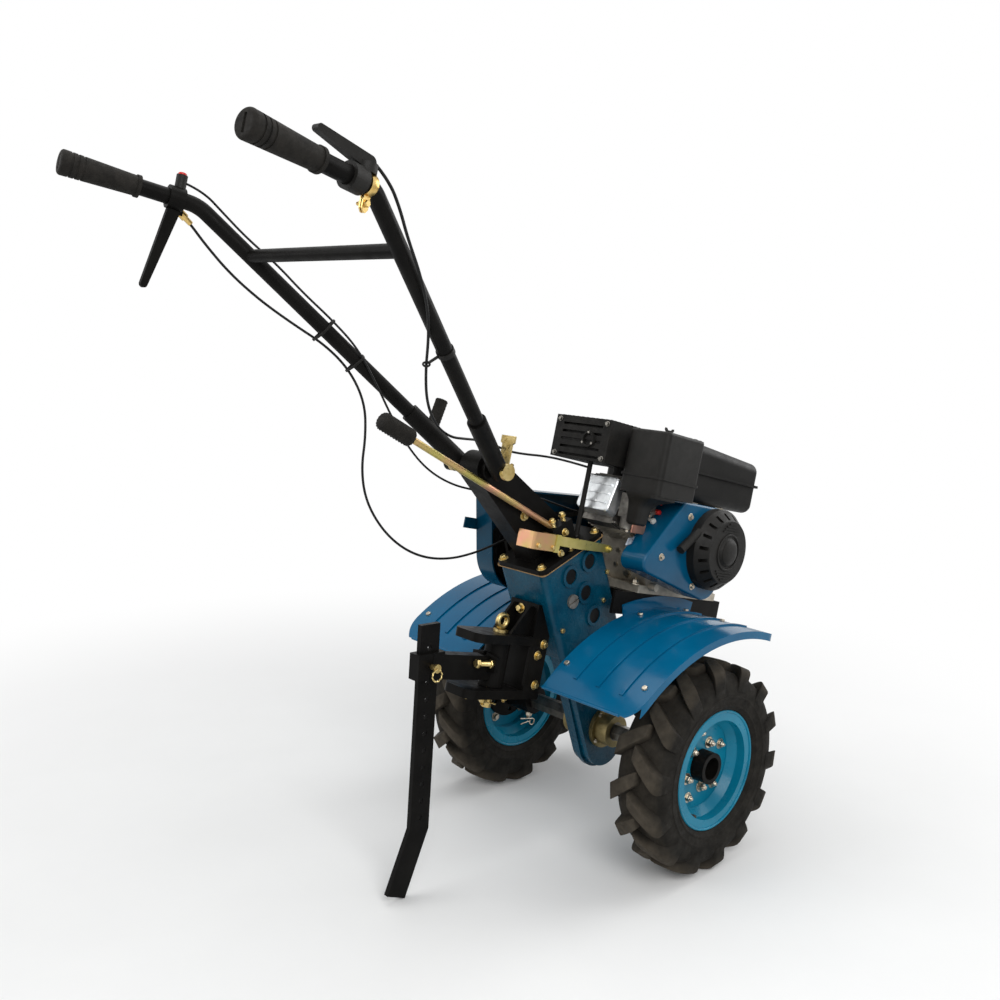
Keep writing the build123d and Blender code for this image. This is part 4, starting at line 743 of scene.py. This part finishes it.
plug_lead = bmesh.new()
lead_line = (
    (-112, -84, 512), (-112, -92, 514), (-104, -100, 512), (-92, -106, 505), (-80, -110, 497),
    (-66, -112, 488), (-50, -112, 478),
)
tube(plug_lead, lead_line, 3.2, 10)
boot = ((7.5, 0), (7.5, 8), (5.0, 10), (4.6, 16), (3.4, 17))
revolve(plug_lead, (-112, -82, 512), (0, -1, 0), boot, 16)
piece("plug_lead", plug_lead, "chassis", plug_black)

# Muffler: a heat-blackened steel can behind the tank, on its pipe from the cylinder head and a
# thin strut from the gearbox cover. Its louvred guard has a lattice of expanded metal on top
# and small screws at the back, round the outlet ring too.
heat_black = surface(
    "heat_black_paint", (0.0055, 0.0053, 0.0050), (0.014, 0.0130, 0.0115), 30.0, (0.5, 0.7),
    shine=0.12, bump=(900.0, 0.0003),
)
dress(heat_black, "muffler", "muffler_guard", "muffler_strut")
guard_rear, guard_fore, guard_right, guard_left, guard_top = -216.0, -100.0, -67.0, 63.0, 624.2
guard_back, outlet_y, outlet_z = -222.5, -24.0, 581.0
mesh_pitch, mesh_bar, mesh_least = 12.7, 1.7, 3.0
outlet_bolt_ring = 14.0
lattice = bmesh.new()
for slope in (1, -1):
    for row in range(-10, 22):
        start_y = guard_right + mesh_pitch * row
        edge_x = sorted(guard_rear + slope * (edge - start_y) for edge in (guard_right, guard_left))
        near, far = max(edge_x[0], guard_rear), min(edge_x[1], guard_fore)
        if far - near < mesh_least:
            continue
        strip = ((near, -mesh_bar), (far, -mesh_bar), (far, mesh_bar), (near, mesh_bar))
        corners = [(x, start_y + slope * (x - guard_rear) + shift, guard_top) for x, shift in strip]
        plate(lattice, corners, (0, 0, 1.5))
revolve(
    lattice, (guard_back + 2.5, outlet_y, outlet_z), (-1, 0, 0),
    ((12, 0), (16, 0), (16, 6), (15, 8), (12.6, 8), (11.6, 7)), 32, ring=True,
)
piece("guard_lattice", lattice, "chassis", heat_black)
bolts = bmesh.new()
for y in (-64, 60):
    for z in (547, 616):
        hex_bolt(bolts, (guard_back, y, z), (-1, 0, 0), 7.0, 3.5, 5.5)
for turn in (90, 210, 330):
    y = outlet_y + outlet_bolt_ring * cos(radians(turn))
    z = outlet_z + outlet_bolt_ring * sin(radians(turn))
    hex_bolt(bolts, (guard_back - 3.5, y, z), (-1, 0, 0), 5.0, 3.0)
piece("guard_screws", bolts, "chassis", axle_steel)

# Belt drive: two flanged pulleys and a rubber belt under a dark blue steel hood on the left,
# with the clutch arm that sets the belt's tension.
belt_rubber = surface(
    "belt_rubber", (0.008, 0.008, 0.008), (0.018, 0.017, 0.016), 70.0, (0.6, 0.8), shine=0.1,
)
hood_blue = surface(
    "hood_blue_paint", (0.0003, 0.030, 0.062), (0.0008, 0.050, 0.096), 8.0, (0.18, 0.28),
    shine=0.16, bump=(260.0, 0.00012), coat=0.1,
)
dress(black_paint, "drive_pulley", "driven_pulley", "clutch_arm")
dress(belt_rubber, "drive_belt")
dress(hood_blue, "belt_hood")
hood_face = 154.0
bolts = bmesh.new()
for x, z in ((-300, 420), (-250, 330), (-200, 440), (100, 400)):
    hex_bolt(bolts, (x, hood_face, z), (0, 1, 0), 10.0, 5.5, 9.5)
piece("hood_bolts", bolts, "chassis", bright_zinc)

# Fenders: gloss blue steel sheets rolled over the wheels, with pressed ribs, a turned-down lip
# and beaded ends, held by plated bolts.
blue_paint = surface(
    "gloss_blue_paint", (0.0003, 0.084, 0.184), (0.0008, 0.108, 0.226), 6.0, (0.12, 0.22),
    shine=0.16, bump=(260.0, 0.00012), coat=0.1,
)
dress(blue_paint, "fender_left", "fender_right")
fender_x, fender_z, fender_r, bolt_sink = 40.0, -153.0, 430.0, 2.6


def on_fender(x, y):
    """A point on the fender's upper skin and the way it faces there."""
    rise = (fender_r**2 - (x - fender_x) ** 2) ** 0.5
    return Vector((x, y, fender_z + rise)), Vector((x - fender_x, 0, rise)).normalized()


for side, label in both_sides:
    bolts = bmesh.new()
    for x, y in ((-261, 113), (-259, 298), (-82, 124), (84, 114), (56, 224)):
        seat, out = on_fender(x, side * y)
        hex_bolt(bolts, seat - out * bolt_sink, out, 10.0, 5.5, 9.5)
    piece("fender_bolts_" + label, bolts, "chassis", bright_zinc)

# Hitch: a folded black channel behind the gearbox with two jaws, two gussets and weld beads. A
# plated drop pin with a ring goes through jaws and drawbar eye, and a spring clip keeps it in.
dress(black_paint, "hitch_bracket")
dress(yellow_zinc, "hitch_pin")
hitch_back, hitch_side, jaw_under = -286.0, 38.0, 63.0
gussets = bmesh.new()
for y in (-26, 20):
    gusset = ((-285, 242), (-285, 184), (-334, 184), (-334, 189), (-296, 242))
    plate(gussets, [(x, y, z) for x, z in gusset], (0, 6, 0))
for y in (-36, 36):
    weld = [(hitch_back, y + 1.2 * (step % 2), 90 + 4 * step) for step in range(20)]
    tube(gussets, weld, 2.2)
piece("hitch_gussets", gussets, "chassis", black_paint)
bolts = bmesh.new()
for y, z in ((8, 232), (-10, 206)):
    hex_bolt(bolts, (hitch_back, y, z), (-1, 0, 0), 12.0, 7.5, 10.0)
for side in (1, -1):
    for x, z in ((-252, 172), (-264, 150), (-256, 92)):
        hex_bolt(bolts, (x, side * hitch_side, z), (0, side, 0), 11.0, 6.0, 9.5)
    hex_bolt(bolts, (-372, side * 22, jaw_under), (0, 0, -1), 13.0, 8.0, 11.0, 5.0)
    hex_bolt(bolts, (-306, side * 12, jaw_under), (0, 0, -1), 11.0, 7.0, 9.5, 4.0)
spring_clip(bolts, (-338, 0, 50), (0, 1, 0), (-1, 0, 0), 44.0)
piece("hitch_bolts", bolts, "chassis", yellow_zinc)

# Drawbar and stake: a black steel bar on the hitch pin, with two long stop bolts in welded lugs
# and a sleeve for the drilled depth stake, which a headed pin with a ring holds at its height.
dress(black_paint, "drawbar", "stake")
dress(yellow_zinc, "stake_pin")
lug_back, stop_y, stop_z, stop_head = -368.0, 22.0, 127.0, -402.0
stop_lug = bmesh.new()
for side in (1, -1):
    lug = ((4, 108), (33, 112), (33, 142), (4, 146))
    plate(stop_lug, [(lug_back, side * y, z) for y, z in lug], (9, 0, 0))
piece("drawbar_stop_lugs", stop_lug, "drawbar", black_paint)
stops = bmesh.new()
for side in (1, -1):
    hex_bolt(stops, (stop_head, side * stop_y, stop_z), (-1, 0, 0), 15.0, 8.0)
    shank = [(5.6 - 0.7 * (turn % 2), 1.1 * turn) for turn in range(44)]
    revolve(stops, (stop_head - 1, side * stop_y, stop_z), (1, 0, 0), shank, 14)
    hex_bolt(stops, (lug_back, side * stop_y, stop_z), (-1, 0, 0), 15.0, 6.0)
ring_at, ring_r = Vector((-508, -31, 105)), 11.0
keeper = []
for step in range(20):
    angle = 2 * pi * step / 18
    keeper.append(ring_at + Vector((ring_r * cos(angle), -2.0 * (step % 2), ring_r * sin(angle))))
tube(stops, keeper, 1.4)
piece("drawbar_stop_bolts", stops, "drawbar", yellow_zinc)

# Steering column and yoke: a wedge-shaped black steel bracket on the gearbox cover that carries
# the handlebar's two sleeves on one pivot bolt, with a plated guide plate at its back.
dress(black_paint, "column", "handlebar_yoke")
dress(yellow_zinc, "pivot_bolt")
column_up = Vector((0.412, 0, 0.911))
column_side = 24.0
bolts = bmesh.new()
for side in (1, -1):
    for x, z in ((-361, 411), (-300, 362)):
        hex_bolt(bolts, (x, side * column_side, z), (0, side, 0), 11.0, 6.5, 9.5)
hex_bolt(bolts, (-396, 6, 482.4), column_up, 13.0, 8.0, 11.0, 12.0)
guide_x = -428.0
guide = ((-24, 496), (2, 496), (2, 536), (7, 539), (7, 552), (-29, 552), (-29, 539), (-24, 536))
plate(bolts, [(guide_x, y, z) for y, z in guide], (3.4, 0, 0))
piece("column_bolts", bolts, "chassis", yellow_zinc)

# Gear lever: a plated rod with a black knurled knob, led by a folded plated gate beside the
# column. A flat plated arm runs forward from the gate, and a lock block with two sprung studs
# stands on the gearbox cover.
passivated = surface(
    "pink_passivated_zinc", (0.56, 0.26, 0.18), (0.44, 0.38, 0.11), 15.0, (0.28, 0.44), metal=0.8,
    bump=(1300.0, 0.0001),
)
dress(passivated, "gear_lever")
gate = bmesh.new()
gate_y, sheet, gate_low, gate_high = -73.0, 2.6, 356.0, 388.0
gate_root, lock_side = -30.0, -58.0
fold = (
    (-373, gate_root), (-373, gate_y + 4), (-371.8, gate_y + 1.2), (-369, gate_y),
    (-307, gate_y), (-304.2, gate_y + 1.2), (-303, gate_y + 4), (-303, gate_root),
)
outer = [Vector((x, y, gate_low)) for x, y in fold]
for near, far in zip(outer, outer[1:]):
    inward = Vector((0, 0, 1)).cross(far - near).normalized() * sheet
    plate(gate, (near, far, far + inward, near + inward), (0, 0, gate_high - gate_low))
gate_piece = piece("shift_gate", gate, "chassis", passivated)
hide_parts("shift_bracket")
green_zinc = surface(
    "green_gold_zinc", (0.46, 0.40, 0.10), (0.60, 0.50, 0.20), 20.0, (0.26, 0.42), metal=0.85,
    bump=(1300.0, 0.0001),
)
shift_arm = bmesh.new()
arm = (
    (-309, 369), (-240, 367.5), (-156, 369.5), (-150, 372), (-148, 377), (-150, 382), (-156, 384.5),
    (-240, 386.5), (-309, 385),
)
plate(shift_arm, [(x, gate_y - 0.8, z) for x, z in arm], (0, sheet + 0.8, 0))
edge_strip = ((-314, 355), (-302, 355), (-302, 389), (-314, 389))
plate(shift_arm, [(x, gate_y - 1.6, z) for x, z in edge_strip], (0, sheet, 0))
arm_lip = ((-300, 384), (-160, 382), (-160, 384.4), (-300, 387))
plate(shift_arm, [(x, gate_y + sheet, z) for x, z in arm_lip], (0, 9, 0))
revolve(
    shift_arm, (-157, gate_y, 377), (0, -1, 0),
    ((7.0, -0.5), (7.0, 2.0), (4.0, 2.4), (4.0, 7.0), (3.2, 7.6)), 18,
)
revolve(shift_arm, (-270, lock_side, 377), (0, -1, 0), ((5.0, -2), (5.0, 14.0)), 16)
piece("shift_arm", shift_arm, "chassis", green_zinc)
lock = bmesh.new()
for low, high, inset in ((439.6, 458, 0.0), (458, 497, 4.0)):
    rear, front, right = -46 + inset, 16 - inset, lock_side + inset
    block = ((rear, right), (front, right), (front, -33), (rear, -33))
    plate(lock, [on_case(u, y, low) for u, y in block], case_up * (high - low))
lock_edges = [edge for edge in lock.edges if edge.calc_face_angle(0.0) > radians(60.0)]
bmesh.ops.bevel(lock, geom=lock_edges, offset=1.6, segments=2, profile=0.6, affect="EDGES")
piece("shift_lock_block", lock, "chassis", black_paint)
springs = bmesh.new()
for u in (-32, -4):
    spring(springs, on_case(u, -46, 495), on_case(u, -46, 512), 4.2, 1.0, 4)
    hex_bolt(springs, on_case(u, -46, 509.5), case_up, 10.0, 5.0, 7.0)
for u in (-40, 8):
    hex_bolt(springs, on_case(u, lock_side, 448), (0, -1, 0), 9.0, 5.0, 7.5)
hex_bolt(springs, on_case(-14, lock_side + 4, 480), (0, -1, 0), 10.0, 6.0, 8.0)
for x in (-318, -358):
    hex_bolt(springs, (x, gate_y, 364), (0, -1, 0), 8.0, 4.5)
piece("shift_springs", springs, "chassis", yellow_zinc)
grip_rubber = surface(
    "grip_rubber", (0.0085, 0.0078, 0.0068), (0.0190, 0.0170, 0.0145), 60.0, (0.6, 0.78),
    shine=0.12, bump=(1200.0, 0.0005),
)
knob = bmesh.new()
knob_skin = [(10.0, 0), (13.0, 1.5), (14.6, 4.0)] + [(14.7, 6.0 + 3.2 * row) for row in range(19)]
knob_skin += [(14.6, 66.0), (13.0, 69.4), (9.0, 71.4), (3.0, 72.0)]
revolve(knob, (-672.7, -35.2, 506.1), (-0.9625, 0.0119, 0.2709), knob_skin, 28, knurl=1.3)
knob_piece = piece("gear_knob_moulding", knob, "chassis", grip_rubber, sharp=20.0)
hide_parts("gear_knob")

# Handlebar: two black steel tubes bent level at the hands, with grooved rubber grips, a clutch
# lever and stop switch on the left and a throttle lever on the right. A brass-plated band and
# cable adjuster sit by the levers, and the clamp lever has a knurled rubber knob.
dress(black_paint, "handlebar_tubes", "clutch_lever", "clamp_lever")
dress(grip_rubber, "grip_left", "grip_right")
dress(moulded_black, "throttle_lever", "stop_switch")
clamp_skin = [(8.5, 0), (11.0, 1.5)] + [(10.6, 3.0 + 3.2 * row) for row in range(15)]
clamp_skin += [(11.0, 51.4), (9.6, 53.4), (5.0, 54.1)]
clamp = bmesh.new()
revolve(clamp, (-525, 92, 541), (11, 0, 53), clamp_skin, 22, knurl=1.2)
clamp_piece = piece("clamp_grip_moulding", clamp, "handlebar", grip_rubber, sharp=20.0)
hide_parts("clamp_grip")
brass = surface(
    "yellow_brass_plating", (0.56, 0.36, 0.10), (0.74, 0.54, 0.22), 48.0, (0.24, 0.4), metal=1.0,
    bump=(1300.0, 0.0001),
)
hand_run, hand_out = Vector((-0.986, -0.167, 0)), Vector((0.167, -0.986, 0))
band_at = Vector((-992, -236.6, 812))
band = bmesh.new()
revolve(
    band, band_at - hand_run * 6, hand_run,
    ((12.6, 0), (15.2, 0), (15.8, 1.5), (15.8, 10.5), (15.2, 12), (12.6, 12)), 36, ring=True,
)
for lug in (-3.4, 1.0):
    corners = []
    for along, drop in ((-6, 13), (6, 13), (6, 32), (2, 37), (-2, 37), (-6, 32)):
        corners.append(band_at + hand_run * along + hand_out * lug - Vector((0, 0, drop)))
    plate(band, corners, hand_out * 2.4)
pinch = band_at - Vector((0, 0, 25))
hex_bolt(band, pinch + hand_out * 3.4, hand_out, 9.0, 5.0)
hex_bolt(band, pinch - hand_out * 3.4, -hand_out, 9.0, 5.0, 0.0, 5.0)
adjuster_skin = [(4.6, 0), (6.4, 1.0)] + [(6.4, 2.0 + 1.6 * row) for row in range(8)]
adjuster_skin += [(6.4, 14.6), (4.2, 15.0), (4.2, 27.0), (3.4, 28.0)]
revolve(band, (-1004.6, 258, 797.4), (19, -1, -11), adjuster_skin, 20, knurl=0.5)
piece("handle_brass", band, "handlebar", brass)
button = bmesh.new()
revolve(
    button, (-1018, 241, 850.4), (0, 0, 1),
    ((7.0, 0), (7.0, 2.6), (6.0, 4.2), (3.0, 5.2), (0.6, 5.4)), 24,
)
piece("stop_button", button, "handlebar", red_plastic)

# Cables: three black sheathed control cables that hang in loops from the handlebar to the
# engine and clutch arm. Plastic ties hold two of them to the left tube, and a clip holds the
# throttle's beside the right one.
cable_black = surface(
    "cable_sheath", (0.005, 0.005, 0.005), (0.010, 0.010, 0.010), 120.0, (0.35, 0.5), shine=0.16,
)
cable_runs = (
    (
        "clutch_cable", 2.3, 0.994, -690.0, -340.0,
        (
            (-1004, 258, 797), (-985, 257, 786), (-952, 251, 758), (-905, 238, 722), (-852, 216, 690),
            (-796, 191, 664), (-738, 164, 640), (-690, 146, 606), (-655, 133, 556), (-644, 127, 498),
            (-644, 122, 442), (-626, 117, 388), (-584, 112, 342), (-532, 107, 311), (-474, 103, 297),
            (-415, 97, 301), (-360, 91, 319), (-316, 84, 342), (-294.5, 80.5, 354),
        ),
    ),
    (
        "stop_wire", 2.0, 1.159, -660.0, -340.0,
        (
            (-1010, 240, 840), (-976, 243, 838), (-936, 240, 815), (-893, 224, 785), (-843, 198, 754),
            (-800, 172, 718), (-750, 145, 684), (-705, 116, 645), (-665, 98, 592), (-622, 98, 546),
            (-573, 98, 499), (-520, 92, 462), (-460, 85, 443), (-400, 76, 440), (-340, 72, 446),
            (-280, 70, 452), (-220, 66, 448), (-160, 60, 440), (-105, 52, 434), (-60, 42, 431),
            (-26, 33, 430),
        ),
    ),
    (
        "throttle_cable", 2.3, 0.972, -720.0, -330.0,
        (
            (-988, -243, 838), (-966, -247, 824), (-938, -242, 798), (-905, -228, 768), (-858, -212, 729),
            (-815, -190, 690), (-775, -155, 655), (-742, -122, 612), (-712, -103, 566), (-668, -84, 534),
            (-615, -64, 522), (-560, -40, 526), (-505, -18, 531), (-448, 4, 530), (-390, 22, 525),
            (-335, 32, 527), (-285, 26, 532), (-246, 4, 532), (-208.5, -21, 528),
        ),
    ),
)


def cable_line(points):
    """The smooth line of a cable: its route's points as the control points of one spline."""
    route = bpy.data.curves.new("cable_route", "CURVE")
    route.dimensions = "3D"
    route.resolution_u = 8
    run = route.splines.new("NURBS")
    run.points.add(len(points) - 1)
    for knot, point in zip(run.points, points):
        knot.co = (*point, 1.0)
    run.order_u = 3
    run.use_endpoint_u = True
    holder = bpy.data.objects.new("cable_route", route)
    scene.collection.objects.link(holder)
    bpy.context.view_layer.update()
    line = bpy.data.meshes.new_from_object(holder)
    places = [vert.co.copy() for vert in line.vertices]
    bpy.data.objects.remove(holder)
    bpy.data.curves.remove(route)
    bpy.data.meshes.remove(line)
    return places


pivot_z = 484.0
laid = []
for label, radius, length, bend_from, bend_to, route in cable_runs:
    line = cable_line(route)
    laid.append((line, radius))
    sheath = bmesh.new()
    tube(sheath, line, radius, 10)
    cable = piece(label + "_sheath", sheath, None, cable_black)
    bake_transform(cable)
    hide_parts(label)


def on_tube(share, side):
    """A point on the middle of a handlebar tube, as a share of its straight run up from the yoke."""
    return Vector((-472 - 422 * share, side * (48.3 + 154 * share), pivot_z + 270 * share))


def beside(line, middle, way):
    """The point of a cable's line that lies squarely beside a place on a tube."""
    return min(line, key=lambda place: abs((place - middle).dot(way)) + 0.2 * (place - middle).length)


tie_r, tie_wall, tie_wire = 14.2, 1.2, 1.1
ties = bmesh.new()
tube_way = (on_tube(1, 1) - on_tube(0, 1)).normalized()
flat = tube_way.to_track_quat("Z", "Y").to_matrix()
for share in (0.52, 0.67):
    middle = on_tube(share, 1)
    held = [(middle, tie_r)]
    for line, radius in laid[:2]:
        held.append((beside(line, middle, tube_way), radius + tie_wall))
    spots = []
    for place, radius in held:
        off = flat.transposed() @ (place - middle)
        for step in range(24):
            angle = 2 * pi * step / 24
            spots.append(Vector((off.x + radius * cos(angle), off.y + radius * sin(angle))))
    loop = [middle + flat @ Vector((*spots[index], 0)) for index in convex_hull_2d(spots)]
    for slip in (-1.3, 0.0, 1.3):
        tube(ties, [place + tube_way * slip for place in loop + loop[:2]], tie_wire, 6)
clip_way = (on_tube(1, -1) - on_tube(0, -1)).normalized()
clip_at = on_tube(0.6, -1)
clip_band = ((12.6, 0), (14.8, 0), (14.8, 10), (12.6, 10))
revolve(ties, clip_at - clip_way * 5, clip_way, clip_band, 32, ring=True)
throttle_line = laid[2][0]
held_place = beside(throttle_line, clip_at, clip_way)
spot = throttle_line.index(held_place)
way = (throttle_line[spot + 1] - throttle_line[spot - 1]).normalized()
clip_lie = way.to_track_quat("Z", "Y").to_matrix()
loop_r = 5.2
clip_loop = []
for step in range(18):
    angle = 2 * pi * step / 16
    clip_loop.append(held_place + clip_lie @ Vector((loop_r * cos(angle), loop_r * sin(angle), 0)))
tube(ties, clip_loop, 1.8)
reach = (held_place - clip_at).normalized()
clip_arm = (clip_at + reach * 12.8, clip_at.lerp(held_place, 0.6), held_place - reach * 4.8)
tube(ties, clip_arm, 2.4)
piece("cable_ties", ties, "handlebar", moulded_black)
